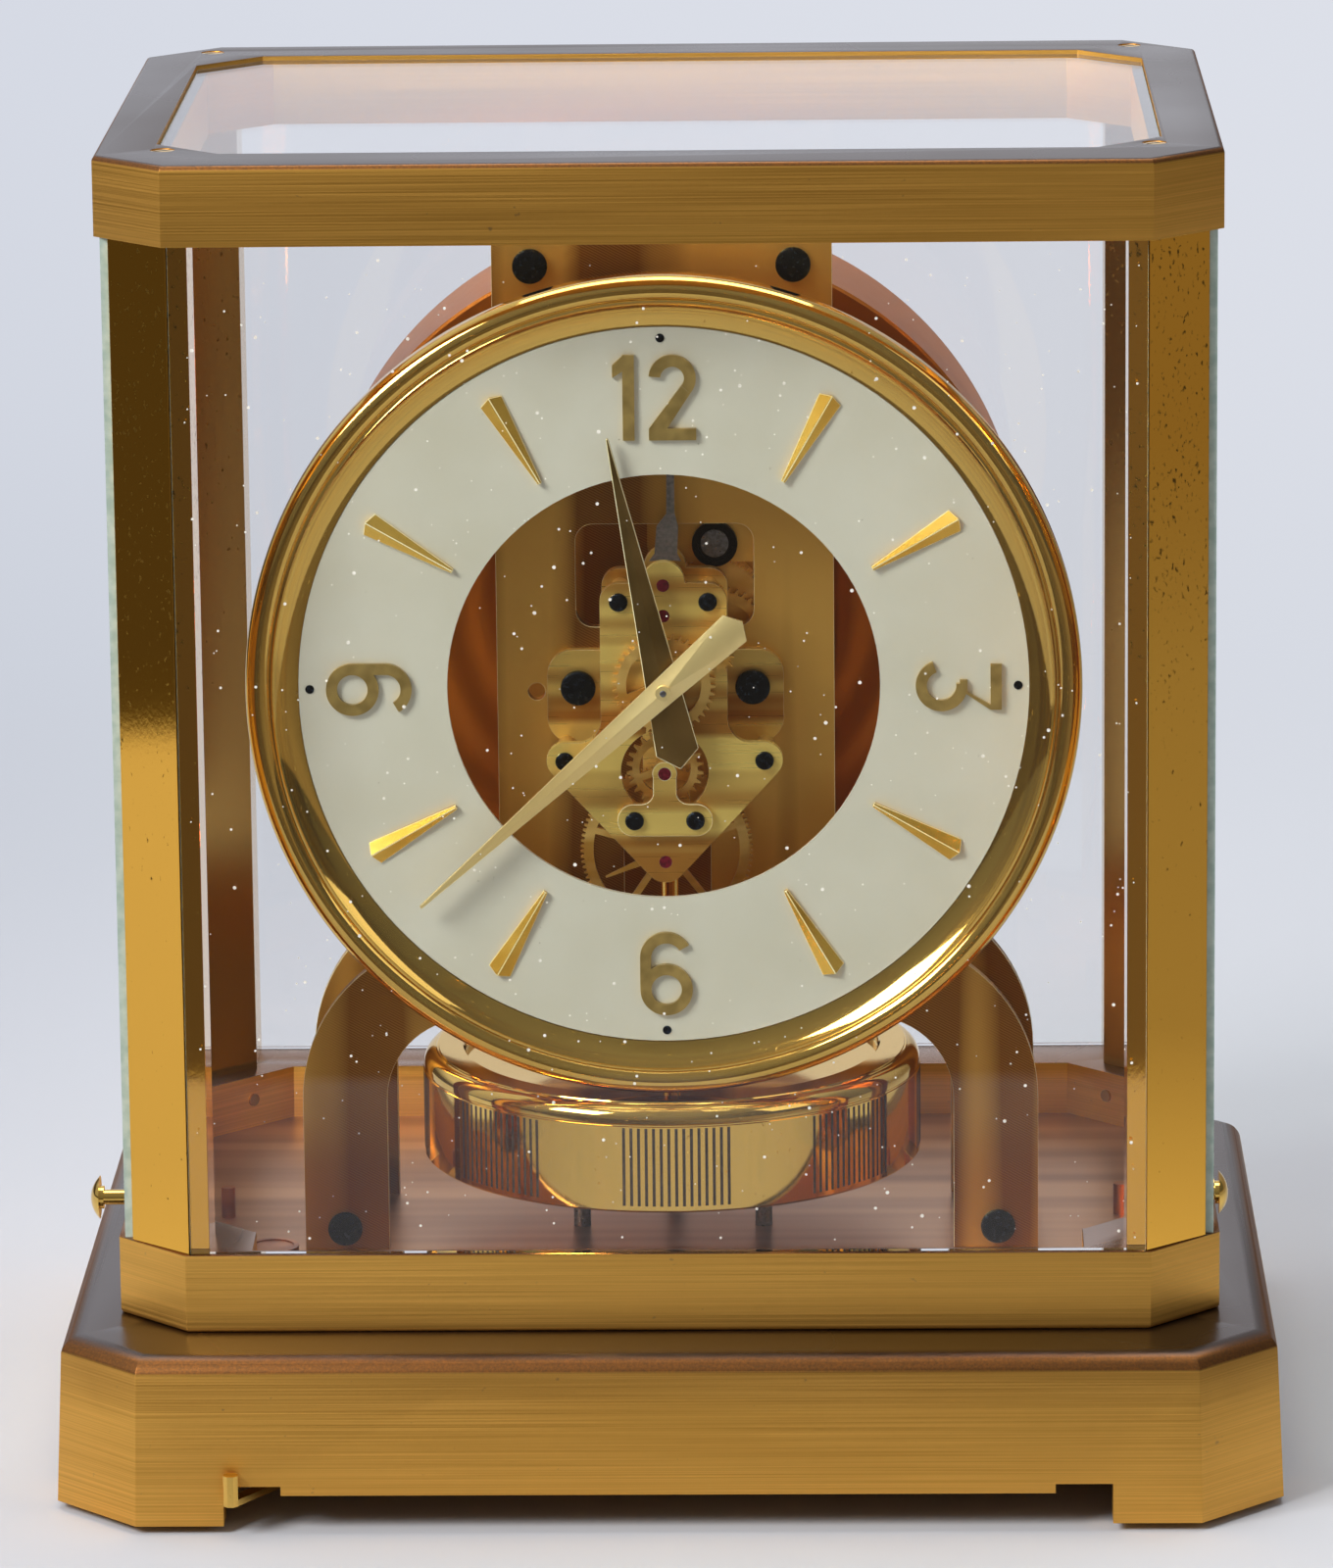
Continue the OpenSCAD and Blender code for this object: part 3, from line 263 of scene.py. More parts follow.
# %% The room round them
world = bpy.data.worlds.new("dim_room")
bpy.context.scene.world = world
world.use_nodes = True
tree = world.node_tree
tree.nodes.clear()
where = add(tree, "ShaderNodeTexCoord").outputs["Generated"]
way = add(tree, "ShaderNodeSeparateXYZ", {"Vector": where}).outputs
upper = add(tree, "ShaderNodeMapRange", {0: way["Z"], 1: -0.3, 2: 0.7, 3: 0.28, 4: 0.66})
rear = add(tree, "ShaderNodeMapRange", {0: way["Y"], 1: -0.5, 2: 0.2, 3: 0.4, 4: 1.0})
right = add(tree, "ShaderNodeMapRange", {0: way["X"], 1: 0.1, 2: 0.8, 3: 1.0, 4: 0.28})
level = add(tree, "ShaderNodeMath", {0: upper, 1: rear}, operation="MULTIPLY")
level = add(tree, "ShaderNodeMath", {0: level, 1: right}, operation="MULTIPLY")
sky = add(tree, "ShaderNodeBackground", {"Color": linear("F2F4FA"), "Strength": level})
add(tree, "ShaderNodeOutputWorld", {"Surface": sky})
print(world.name, "brighter above and behind, dimmer on the right")

# %% [markdown]
# ## Brushed brass
#
# Plinth, sill and top frame are solid brass, ground along their length and lacquered. The faces
# that look up are painted dark brown and the rounded shoulders copper brown, a painted shade
# of the dim room they face. The grinding lines run level round every side, so a noise is
# drawn out along X and Y and squeezed in Z. The real lines are about 0.1 mm apart, too fine to
# show, so they are drawn 0.26 mm apart. A grain of 0.4 mm mottles and roughens the shoulders, and a few
# spots of 2 mm have gone through to the dark metal.

# %% Noise in millimetres
def streaks(tree, coordinates, lengths, detail=3.0, seed=0.0):
    """A noise whose cells measure lengths, in millimetres, along x, y and z."""
    scale = [1000 / length for length in lengths]
    spread = add(tree, "ShaderNodeMapping", {"Vector": coordinates, "Scale": scale, "Location": (seed, seed, seed)})
    return add(tree, "ShaderNodeTexNoise", {"Vector": spread, "Scale": 1.0, "Detail": detail})


LINES, CLOUDS = (70, 70, 0.26), (60, 60, 14)
SPOTS, GRAIN = (2.2, 2.2, 1.6), (0.4, 0.4, 0.4)
print("grinding lines", LINES[2], "mm apart and", LINES[0], "mm long")

# %% Brushed brass
# Painted shade: the two copper browns of the shoulders, mixed by the grain.
SHOULDER, DARKER_SHOULDER = "8C5A2E", "6E4C2E"
BRUSHED = 0.46  # roughness of the ground sides


def brushed(name, fair, dull, dark_metal_and_top_shade):
    """Ground and lacquered brass: level lines on the sides, painted shade with a grain on shoulders and tops."""
    finish, tree = blank(name)
    here = add(tree, "ShaderNodeTexCoord").outputs["Object"]
    normal = add(tree, "ShaderNodeNewGeometry").outputs["Normal"]
    up = add(tree, "ShaderNodeSeparateXYZ", {"Vector": normal}).outputs["Z"]
    upward = add(tree, "ShaderNodeMapRange", {0: up, 1: 0.82, 2: 0.97})
    rounded = add(tree, "ShaderNodeMapRange", {0: up, 1: 0.12, 2: 0.4})
    lines = streaks(tree, here, LINES, 2.0)
    clouds = streaks(tree, here, CLOUDS, 2.0, 7.0)
    spots = streaks(tree, here, SPOTS, 2.0, 11.0)
    grain = streaks(tree, here, GRAIN, 2.0)

    share = add(tree, "ShaderNodeMapRange", {0: lines, 1: 0.25, 2: 0.7})
    metal = add(tree, "ShaderNodeMix", {"Factor": share, 6: linear(dull), 7: linear(fair)}, data_type="RGBA")
    share = add(tree, "ShaderNodeMapRange", {0: clouds, 1: 0.42, 2: 0.72, 3: 0.0, 4: 0.3})
    metal = add(tree, "ShaderNodeMix", {"Factor": share, 6: metal, 7: linear(dull)}, data_type="RGBA")
    share = add(tree, "ShaderNodeMapRange", {0: spots, 1: 0.74, 2: 0.8, 3: 0.0, 4: 0.4})
    metal = add(tree, "ShaderNodeMix", {"Factor": share, 6: metal, 7: linear(dark_metal_and_top_shade)}, data_type="RGBA")
    share = add(tree, "ShaderNodeMapRange", {0: grain, 1: 0.3, 2: 0.7})
    # Painted shade: shoulders and faces that look up are darkened by how far they face up.
    shoulder_shade = add(tree, "ShaderNodeMix", {"Factor": share, 6: linear(SHOULDER), 7: linear(DARKER_SHOULDER)}, data_type="RGBA")
    worn_and_shaded = add(tree, "ShaderNodeMix", {"Factor": rounded, 6: metal, 7: shoulder_shade}, data_type="RGBA")
    worn_and_shaded = add(tree, "ShaderNodeMix", {"Factor": upward, 6: worn_and_shaded, 7: linear(dark_metal_and_top_shade)}, data_type="RGBA")

    rough = add(tree, "ShaderNodeMapRange", {0: lines, 1: 0.3, 2: 0.7, 3: BRUSHED - 0.05, 4: BRUSHED + 0.06})
    smoother = add(tree, "ShaderNodeMapRange", {0: upward, 1: 0, 2: 1, 3: 0, 4: 0.2})
    rough = add(tree, "ShaderNodeMath", {0: rough, 1: smoother}, operation="SUBTRACT")
    height = add(tree, "ShaderNodeMix", {"Factor": rounded, "A": lines, "B": grain}, data_type="FLOAT")
    bump = add(tree, "ShaderNodeBump", {"Height": height, "Strength": 0.35, "Distance": 0.00005})
    shader = add(tree, "ShaderNodeBsdfPrincipled", {
        "Base Color": worn_and_shaded, "Metallic": 1.0, "Roughness": rough, "Normal": bump})
    add(tree, "ShaderNodeOutputMaterial", {"Surface": shader})
    return finish


# The last colour is for the worn spots and for the painted shade on faces that look up.
brushed_brass = brushed("brushed_lacquered_brass", "F4BC5C", "D8A046", "665A54")
sill_brass = brushed("brushed_sill_brass", "FCC462", "E4AC50", "A07A60")
print(brushed_brass.name, sill_brass.name)

# %% [markdown]
# ## Polished brass with tarnish
#
# The four pillars were polished to a mirror. Their lower half mirrors the paper and looks like
# clean gold. The upper half mirrors the dark room, and there the fine pale specks and scratches
# of the old lacquer show as a golden dust on black, so the specks are rough spots that catch the
# lamps where a mirror would not. They are about 0.8 mm wide and grow denser between 100 and
# 170 mm above the table. The rear pillars, seen through two panes, are hazy with old dust.

# %% Polished brass
SPECKS, PATCHES = (0.8, 0.8, 1.12), (7, 7, 15)  # mm
DENSER_FROM, DENSER_TO = 0.1, 0.17  # metres
HAZE = "C9B488"


def polished(name, colour, tarnish, rough, low, high, haze=0.0):
    """Polished metal with rough specks, from a low to a high density, and haze on its rear half."""
    finish, tree = blank(name)
    here = add(tree, "ShaderNodeTexCoord").outputs["Object"]
    at = add(tree, "ShaderNodeSeparateXYZ", {"Vector": here}).outputs
    specks = streaks(tree, here, SPECKS, 6.0)
    patches = streaks(tree, here, PATCHES, 3.0, 3.0)
    higher = add(tree, "ShaderNodeMapRange", {0: at["Z"], 1: DENSER_FROM, 2: DENSER_TO, 3: low, 4: high})
    dense = add(tree, "ShaderNodeMapRange", {0: patches, 1: 0.3, 2: 0.7, 3: 0.4, 4: 1.0})
    dense = add(tree, "ShaderNodeMath", {0: dense, 1: higher}, operation="MULTIPLY")
    least = add(tree, "ShaderNodeMapRange", {0: dense, 1: 0, 2: 1, 3: 0.72, 4: 0.46})
    over = add(tree, "ShaderNodeMath", {0: specks, 1: least}, operation="SUBTRACT")
    spotted = add(tree, "ShaderNodeMapRange", {0: over, 1: -0.02, 2: 0.08})

    hazy = add(tree, "ShaderNodeMapRange", {0: at["Y"], 1: 0.0, 2: 0.04, 3: 0.0, 4: haze})
    clean = add(tree, "ShaderNodeMix", {"Factor": hazy, 6: linear(colour), 7: linear(HAZE)}, data_type="RGBA")
    hazy = add(tree, "ShaderNodeMath", {0: hazy, 1: 0.7}, operation="MULTIPLY")
    spotted = add(tree, "ShaderNodeMath", {0: spotted, 1: hazy}, operation="MAXIMUM")
    metal = add(tree, "ShaderNodeMix", {"Factor": spotted, 6: clean, 7: linear(tarnish)}, data_type="RGBA")
    rough = add(tree, "ShaderNodeMapRange", {0: spotted, 1: 0, 2: 1, 3: rough, 4: rough + 0.4})
    bump = add(tree, "ShaderNodeBump", {"Height": specks, "Strength": 0.12, "Distance": 0.00003})
    shader = add(tree, "ShaderNodeBsdfPrincipled", {
        "Base Color": metal, "Metallic": 1.0, "Roughness": rough, "Normal": bump})
    add(tree, "ShaderNodeOutputMaterial", {"Surface": shader})
    return finish


polished_brass = polished("polished_brass_tarnished", "FFC04C", "7A5A22", 0.05, 0.06, 0.55, haze=0.4)
gilt = polished("polished_gilt", "F6CA68", "B98A45", 0.06, 0.1, 0.1)
print(polished_brass.name, gilt.name)

# %% [markdown]
# ## Ground gilt
#
# The flat plates of the movement were ground on a wheel, plated with gold and left bright. Each
# pass of the wheel leaves a soft band, level on the bridge and upright on the plates, and the
# plates have a fine slanted hatch across the bands. A band tips the surface by a degree or two,
# which a low bump gives, and the bands and hatch lines are also painted dark to bright in the colour, a painted
# sheen.
# Hands, numerals and wheels are satin gilt with wide soft clouds. The narrow bevel of a
# gilt piece is painted near white, a painted highlight. Floor, posts and drum are brass that has gone copper red.

# %% Gilt with ground bands
HATCH_TURN = math.radians(62)
FINEST = 0.35  # mm, as small as the render can show
WAVE_AT_ONE = 2 * math.pi / 20  # metres between a wave texture's lines at scale 1


def ground(name, fair, dull, band, rough, tip, hatch=0.0, spread=(0.35, 0.65), metallic=1.0, detail=1.5):
    """Gilt in bands of a size in mm along x, y and z that tip it by tip metres and are painted from dull to fair, on
    plates and bridge a painted sheen; hatch is lines in mm, painted bright too.
    """
    finish, tree = blank(name)
    here = add(tree, "ShaderNodeTexCoord").outputs["Object"]
    bands = streaks(tree, here, band, detail)
    fine = streaks(tree, here, [max(FINEST, 0.06 * size) for size in band], 2.0, 3.0)
    # Painted sheen: the bands are painted from dull to fair, which on the plates and bridge is painted highlight and
    # shade.
    share = add(tree, "ShaderNodeMapRange", {0: bands, 1: spread[0], 2: spread[1]})
    metal = add(tree, "ShaderNodeMix", {"Factor": share, 6: linear(dull), 7: linear(fair)}, data_type="RGBA")
    low = add(tree, "ShaderNodeMath", {0: fine, 1: 0.012}, operation="MULTIPLY")
    height = add(tree, "ShaderNodeMath", {0: bands, 1: low}, operation="ADD")
    if hatch:
        slanted = add(tree, "ShaderNodeMapping", {"Vector": here, "Rotation": (0, HATCH_TURN, 0)})
        wave = add(tree, "ShaderNodeTexWave", {
            "Vector": slanted, "Scale": WAVE_AT_ONE / (hatch / 1000), "Distortion": 1.2, "Detail": 1.0})
        wave = wave.outputs["Fac"]
        # Painted highlight: the hatch lines are painted towards the fair colour.
        share = add(tree, "ShaderNodeMapRange", {0: wave, 1: 0.2, 2: 0.9, 3: 0.0, 4: 0.2})
        metal = add(tree, "ShaderNodeMix", {"Factor": share, 6: metal, 7: linear(fair)}, data_type="RGBA")
        low = add(tree, "ShaderNodeMath", {0: wave, 1: 0.03}, operation="MULTIPLY")
        height = add(tree, "ShaderNodeMath", {0: height, 1: low}, operation="ADD")
    rough = add(tree, "ShaderNodeMapRange", {0: fine, 1: 0.3, 2: 0.7, 3: rough - 0.008, 4: rough + 0.012})
    bump = add(tree, "ShaderNodeBump", {"Height": height, "Strength": 1.0, "Distance": tip})
    shader = add(tree, "ShaderNodeBsdfPrincipled", {
        "Base Color": metal, "Metallic": metallic, "Roughness": rough, "Normal": bump})
    add(tree, "ShaderNodeOutputMaterial", {"Surface": shader})
    return finish


plate_gilt = ground("ground_plate_gilt", "E8B458", "84501A", (9.3, 90, 400), 0.36, 0.00006,
                    hatch=0.42, spread=(0.4, 0.6), metallic=0.8, detail=0.0)
bridge_gilt = ground("ground_bridge_gilt", "FFDC78", "B87C30", (400, 90, 3.2), 0.28, 0.0001,
                     spread=(0.3, 0.62), metallic=0.65, detail=0.0)
floor_gilt = ground("ground_floor_gilt", "C4946C", "9C7050", (260, 8, 90), 0.36, 0.00004)
print(plate_gilt.name, bridge_gilt.name, floor_gilt.name)

# %% Satin gilt
train_gilt = ground("train_gilt", "FAD078", "D8A248", (8, 8, 3), 0.3, 0.00001, metallic=0.7)
hand_gilt = ground("satin_hand_gilt", "FFE6A2", "FAD486", (30, 30, 30), 0.32, 0.000002, metallic=0.7)
marker_gilt = ground("marker_gilt", "FFD060", "E8B040", (14, 14, 14), 0.26, 0.00001, metallic=0.8)
numeral_gilt = ground("satin_numeral_gilt", "C8A862", "A68A4C", (3, 3, 3), 0.34, 0.00001, metallic=0.7)
# Painted highlight: a near-white, almost unmetallic finish for the bevelled edges.
edge_highlight_gilt = ground("painted_edge_highlight", "FFF6CC", "FFECB0", (14, 14, 14), 0.12, 0.00001, metallic=0.1)
dark_gilt = ground("olive_hand_gilt", "A08048", "7C6230", (14, 14, 14), 0.32, 0.00001)
post_gilt = ground("copper_post_gilt", "C07A44", "94562C", (6, 6, 6), 0.3, 0.00001)
drum_gilt = ground("copper_drum_gilt", "C67420", "9A5210", (60, 60, 60), 0.36, 0.00002, metallic=0.75)
print("satin gilt in eight tones")

# %% [markdown]
# ## Dial paint
#
# The dial is a brass ring sprayed cream and left satin. Age has clouded the paint in patches of
# about 20 mm and left brown pinholes of 1 mm, which also roughen it a little.

# %% Cream paint
dial_paint, tree = blank("cream_dial_paint")
here = add(tree, "ShaderNodeTexCoord").outputs["Object"]
clouds = streaks(tree, here, (22, 22, 22), 4.0)
dots = streaks(tree, here, (1.1, 1.1, 1.1), 2.0, 4.0)
share = add(tree, "ShaderNodeMapRange", {0: clouds, 1: 0.35, 2: 0.7})
cream = add(tree, "ShaderNodeMix", {"Factor": share, 6: linear("D9D1BE"), 7: linear("D1C8B2")}, data_type="RGBA")
share = add(tree, "ShaderNodeMapRange", {0: dots, 1: 0.76, 2: 0.8, 3: 0.0, 4: 0.6})
cream = add(tree, "ShaderNodeMix", {"Factor": share, 6: cream, 7: linear("8F7C5A")}, data_type="RGBA")
bump = add(tree, "ShaderNodeBump", {"Height": dots, "Strength": 0.08, "Distance": 0.00003})
shader = add(tree, "ShaderNodeBsdfPrincipled", {"Base Color": cream, "Roughness": 0.42, "Normal": bump})
add(tree, "ShaderNodeOutputMaterial", {"Surface": shader})
print(dial_paint.name)

# %% [markdown]
# ## Steel, ruby and dust
#
# The screws were heated until they turned blue-black, and old oil and dust roughen them. The
# jewels are pressed rubies. Dust lies on the glass as small pale specks. The lines on the
# pendulum are filled with dark ink. All of these are small, so one uneven surface serves them.

# %% Blued steel, steel, ruby, dust and ink
def plain(name, colour, other, rough, metallic=1.0, size=0.7, depth=0.00008):
    """A small piece with a fine uneven surface of a size in mm and a depth in metres."""
    finish, tree = blank(name)
    here = add(tree, "ShaderNodeTexCoord").outputs["Object"]
    fine = streaks(tree, here, (size, size, size), 3.0)
    share = add(tree, "ShaderNodeMapRange", {0: fine, 1: 0.35, 2: 0.65})
    both = add(tree, "ShaderNodeMix", {"Factor": share, 6: linear(colour), 7: linear(other)}, data_type="RGBA")
    rough = add(tree, "ShaderNodeMapRange", {0: fine, 1: 0.3, 2: 0.7, 3: rough - 0.05, 4: rough + 0.08})
    bump = add(tree, "ShaderNodeBump", {"Height": fine, "Strength": 0.3, "Distance": depth})
    shader = add(tree, "ShaderNodeBsdfPrincipled", {
        "Base Color": both, "Metallic": metallic, "Roughness": rough, "Normal": bump})
    add(tree, "ShaderNodeOutputMaterial", {"Surface": shader})
    return finish


blued_steel = plain("blued_steel", "1C2028", "323C4A", 0.22)
steel = plain("grey_steel", "8E9094", "6B6C70", 0.3)
blade_steel = plain("oiled_blade_steel", "96908A", "767270", 0.4, 0.8)
black_oxide = plain("black_oxide", "14110F", "221C18", 0.35)
ruby = plain("ruby", "4A0614", "720E26", 0.08, 0.0)
dust = plain("dust", "FFFAEC", "E4DCCC", 0.8, 0.0)
engraving = plain("engraved_line_ink", "24160E", "3C281A", 0.5, 0.0, 0.5, 0.00003)
print(blued_steel.name, steel.name, blade_steel.name, black_oxide.name, ruby.name, dust.name, engraving.name)

# %% [markdown]
# ## Glass
#
# The panes are clear, cut from thick sheet, and only their ground ends scatter light and look
# grey green. Clear glass lets lamp light and bounced light straight through, so the inside is
# lit as the real one is, and the camera sees its faint mirror image of the paper.

# %% Clear glass and its ground ends
glass, tree = blank("clear_glass")
body = add(tree, "ShaderNodeBsdfPrincipled", {
    "Base Color": linear("FFFFFF"), "Roughness": 0.0, "IOR": 1.45, "Transmission Weight": 1.0})
through = add(tree, "ShaderNodeBsdfTransparent", {"Color": linear("F6FAF8")})
rays = add(tree, "ShaderNodeLightPath").outputs
straight = add(tree, "ShaderNodeMath", {0: rays["Is Shadow Ray"], 1: rays["Is Diffuse Ray"]}, operation="MAXIMUM")
shader = add(tree, "ShaderNodeMixShader", {0: straight, 1: body, 2: through})
add(tree, "ShaderNodeOutputMaterial", {"Surface": shader})
glass_edge = plain("ground_glass_edge", "9FB5AA", "B9C9BE", 0.45, 0.0, 2.0, 0.00002)
print(glass.name, glass_edge.name)

# %% [markdown]
# ## Fine edges
#
# Every real edge is broken with a file or a polishing wheel, and that thin slope catches the
# light as a bright line. The imported solids have knife edges, so the pieces whose edges show are
# copied, their loose triangles are merged back into flat faces, and a small bevel is cut along
# each sharp edge. The bevel only takes material off, so the size stays. On the gilt
# pieces it gets a near-white finish of its own, a painted highlight.

# %% Copies that ride on the bodies
def finished(name, mesh, body, slots, *replaced):
    """Turns a mesh into a piece that rides on a body and stands for solid pieces."""
    piece = bpy.data.objects.new(name, mesh)
    bpy.context.scene.collection.objects.link(piece)
    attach(piece, body)
    if replaced:
        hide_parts(*replaced)
    return piece


def baked(piece):
    """The mesh of an object with its modifiers applied."""
    view = bpy.context.evaluated_depsgraph_get()
    return bpy.data.meshes.new_from_object(piece.evaluated_get(view), depsgraph=view)


def merged(name):
    """A copy of a solid piece's mesh with its loose triangles joined into flat faces."""
    mesh = nodes[name].data.copy()
    form = bmesh.new()
    form.from_mesh(mesh)
    bmesh.ops.remove_doubles(form, verts=form.verts, dist=2e-6)
    bmesh.ops.dissolve_limit(form, angle_limit=math.radians(0.6), verts=form.verts, edges=form.edges)
    form.to_mesh(mesh)
    form.free()
    return mesh


trial_mesh = merged("plinth")
print("plinth:", len(nodes["plinth"].data.polygons), "triangles,", len(trial_mesh.polygons), "flat faces")
bpy.data.meshes.remove(trial_mesh)

# %% Break an edge
SHARP = math.radians(32)


def softened(name, width, material, edge, slots, steps):
    """Replaces a solid piece by a copy whose sharp edges are broken by a width in mm."""
    trial = bpy.data.objects.new(name + "_trial", merged(name))
    trial.data.materials.clear()
    trial.data.materials.append(material)
    trial.data.materials.append(edge)
    bpy.context.scene.collection.objects.link(trial)
    cut = trial.modifiers.new("edge", "BEVEL")
    cut.width = width / 1000
    cut.segments = steps
    cut.limit_method = "ANGLE"
    cut.angle_limit = SHARP
    cut.use_clamp_overlap = True
    cut.material = 0 if edge == material else 1
    mesh = baked(trial)
    bpy.data.objects.remove(trial)
    mesh.polygons.foreach_set("use_smooth", [True] * len(mesh.polygons))
    mesh.set_sharp_from_angle(angle=math.radians(24 if steps > 1 else 20))
    return finished("fine_" + name, mesh, body_of[name], slots, name)


EDGES = {
    "brushed_brass": [(brushed_brass, brushed_brass, 0.5, 3, ("plinth", "top_frame")),
                      (sill_brass, sill_brass, 0.4, 3, ("sill",))],
    "plate_gilt": [(plate_gilt, edge_highlight_gilt, 0.3, 1, ("front_plate", "rear_plate", "blocks"))],
    "gilt_train": [(bridge_gilt, edge_highlight_gilt, 0.55, 1, ("movement_bridge", "wheel_cock", "movement_plate"))],
    "gilt_hands": [(numeral_gilt, edge_highlight_gilt, 0.2, 1, ("numerals",)),
                   (hand_gilt, edge_highlight_gilt, 0.14, 1, ("minute_hand",)),
                   (marker_gilt, edge_highlight_gilt, 0.1, 1, ("markers",)),
                   (dark_gilt, edge_highlight_gilt, 0.18, 1, ("hour_hand",))],
    "blued_steel": [(blued_steel, blued_steel, 0.35, 2, ("plate_bolts", "bridge_screws", "plate_screws"))],
    "polished_brass": [(gilt, edge_highlight_gilt, 0.25, 2, ("top_screws",)),
                       (polished_brass, polished_brass, 0.15, 1, ("pillars",))],
}
for slots, rows in EDGES.items():
    for material, edge, width, steps, names in rows:
        for name in names:
            piece = softened(name, width, material, edge, slots, steps)
            print(piece.name, len(piece.data.polygons), "faces, edges broken by", width, "mm")

# %% [markdown]
# ## Panes
#
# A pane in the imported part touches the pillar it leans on. In a render two faces in one place
# flicker black, so each face is drawn a little back: by 0.05 mm through the glass and by 0.08 mm
# along it. The two side panes are one piece, so each has its own middle to shrink to. The
# upright ends are ground, and the long edges are left clear.

# %% Panes with ground ends
def pane(name, across, *middles):
    """A pane shrunk towards its middle, or towards the nearest of two; across is its thin axis."""
    mesh = merged(name)
    form = bmesh.new()
    form.from_mesh(mesh)
    for vertex in form.verts:
        middle = min(middles, key=lambda m: (vertex.co - Vector(m)).length)
        for axis in range(3):
            step = 0.00005 if axis == across else 0.00008
            vertex.co[axis] -= math.copysign(step, vertex.co[axis] - middle[axis])
    form.to_mesh(mesh)
    form.free()
    mesh.materials.clear()
    mesh.materials.append(glass)
    mesh.materials.append(glass_edge)
    for face in mesh.polygons:
        face.material_index = 1 if abs(face.normal[0 if across else 1]) > 0.9 else 0
    piece = finished("cut_" + name, mesh, "case", "clear_glass", name)
    print(piece.name, len(mesh.polygons), "faces")


def middle_of(name):
    """The middle of a solid piece's box."""
    low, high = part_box(name)
    return [(a + b) / 2 for a, b in zip(low, high)]


SIDE_PANE_X = 0.092725
pane("front_glass", 1, middle_of("front_glass"))
pane("rear_glass", 1, middle_of("rear_glass"))
pane("top_glass", 2, middle_of("top_glass"))
pane("side_glasses", 0, *([side * SIDE_PANE_X] + middle_of("side_glasses")[1:] for side in (-1, 1)))

# %% [markdown]
# ## Turned pieces
#
# Bezel, drum, its cover, the pendulum and the steel dot of the hand nut were turned on a lathe.
# Geometry Nodes do the same: a grid is laid out with one column for each point of the profile
# and one row for each step round the axis, and every grid point takes its radius and height from
# the profile's point of its column and its angle from its row. The ends meet and are merged.

# %% A tree and its run
def new_tree(name, inputs, output):
    """An empty Geometry Nodes tree with named inputs of the given kinds, and its inputs' sockets."""
    tree = bpy.data.node_groups.new(name, "GeometryNodeTree")
    for key, kind in inputs.items():
        tree.interface.new_socket(key, in_out="INPUT", socket_type="NodeSocket" + kind)
    tree.interface.new_socket(output, in_out="OUTPUT", socket_type="NodeSocketGeometry")
    return tree, add(tree, "NodeGroupInput").outputs


def with_nodes(base, tree, values):
    """Runs a Geometry Nodes tree on a mesh and returns the resulting mesh."""
    trial = bpy.data.objects.new("trial", base)
    bpy.context.scene.collection.objects.link(trial)
    run = trial.modifiers.new("nodes", "NODES")
    run.node_group = tree
    for item in tree.interface.items_tree:
        if item.in_out == "INPUT" and item.name in values:
            run[item.identifier] = values[item.name]
    mesh = baked(trial)
    bpy.data.objects.remove(trial)
    return mesh


# %% A lathe in Geometry Nodes
lathe, given = new_tree("lathe", {
    "Profile": "Geometry", "Points": "Int", "Steps": "Int", "Material": "Material"}, "Turned")
rows = add(lathe, "ShaderNodeMath", {0: given["Steps"], 1: 1.0}, operation="ADD")
grid = add(lathe, "GeometryNodeMeshGrid", {"Vertices X": given["Points"], "Vertices Y": rows})
number = add(lathe, "GeometryNodeInputIndex")
column = add(lathe, "ShaderNodeMath", {0: number, 1: 0.5}, operation="ADD")
column = add(lathe, "ShaderNodeMath", {0: column, 1: rows}, operation="DIVIDE")
column = add(lathe, "ShaderNodeMath", {0: column}, operation="FLOOR")
row = add(lathe, "ShaderNodeMath", {0: number, 1: rows}, operation="MODULO")
share = add(lathe, "ShaderNodeMath", {0: row, 1: given["Steps"]}, operation="DIVIDE")
angle = add(lathe, "ShaderNodeMath", {0: share, 1: 2 * math.pi}, operation="MULTIPLY")
spot = add(lathe, "GeometryNodeInputPosition")
point = add(lathe, "GeometryNodeSampleIndex", {"Geometry": given["Profile"], "Value": spot, "Index": column},
            data_type="FLOAT_VECTOR")
moved = add(lathe, "ShaderNodeVectorRotate", {"Vector": point, "Angle": angle}, rotation_type="Z_AXIS")
shaped = add(lathe, "GeometryNodeSetPosition", {"Geometry": grid, "Position": moved})
joined = add(lathe, "GeometryNodeMergeByDistance", {"Geometry": shaped, "Distance": 1e-7})
real = add(lathe, "GeometryNodeRealizeInstances", {"Geometry": joined})
made = add(lathe, "GeometryNodeSetMaterial", {"Geometry": real, "Material": given["Material"]})
add(lathe, "NodeGroupOutput", {"Turned": made})
print("lathe of", len(lathe.nodes), "nodes")

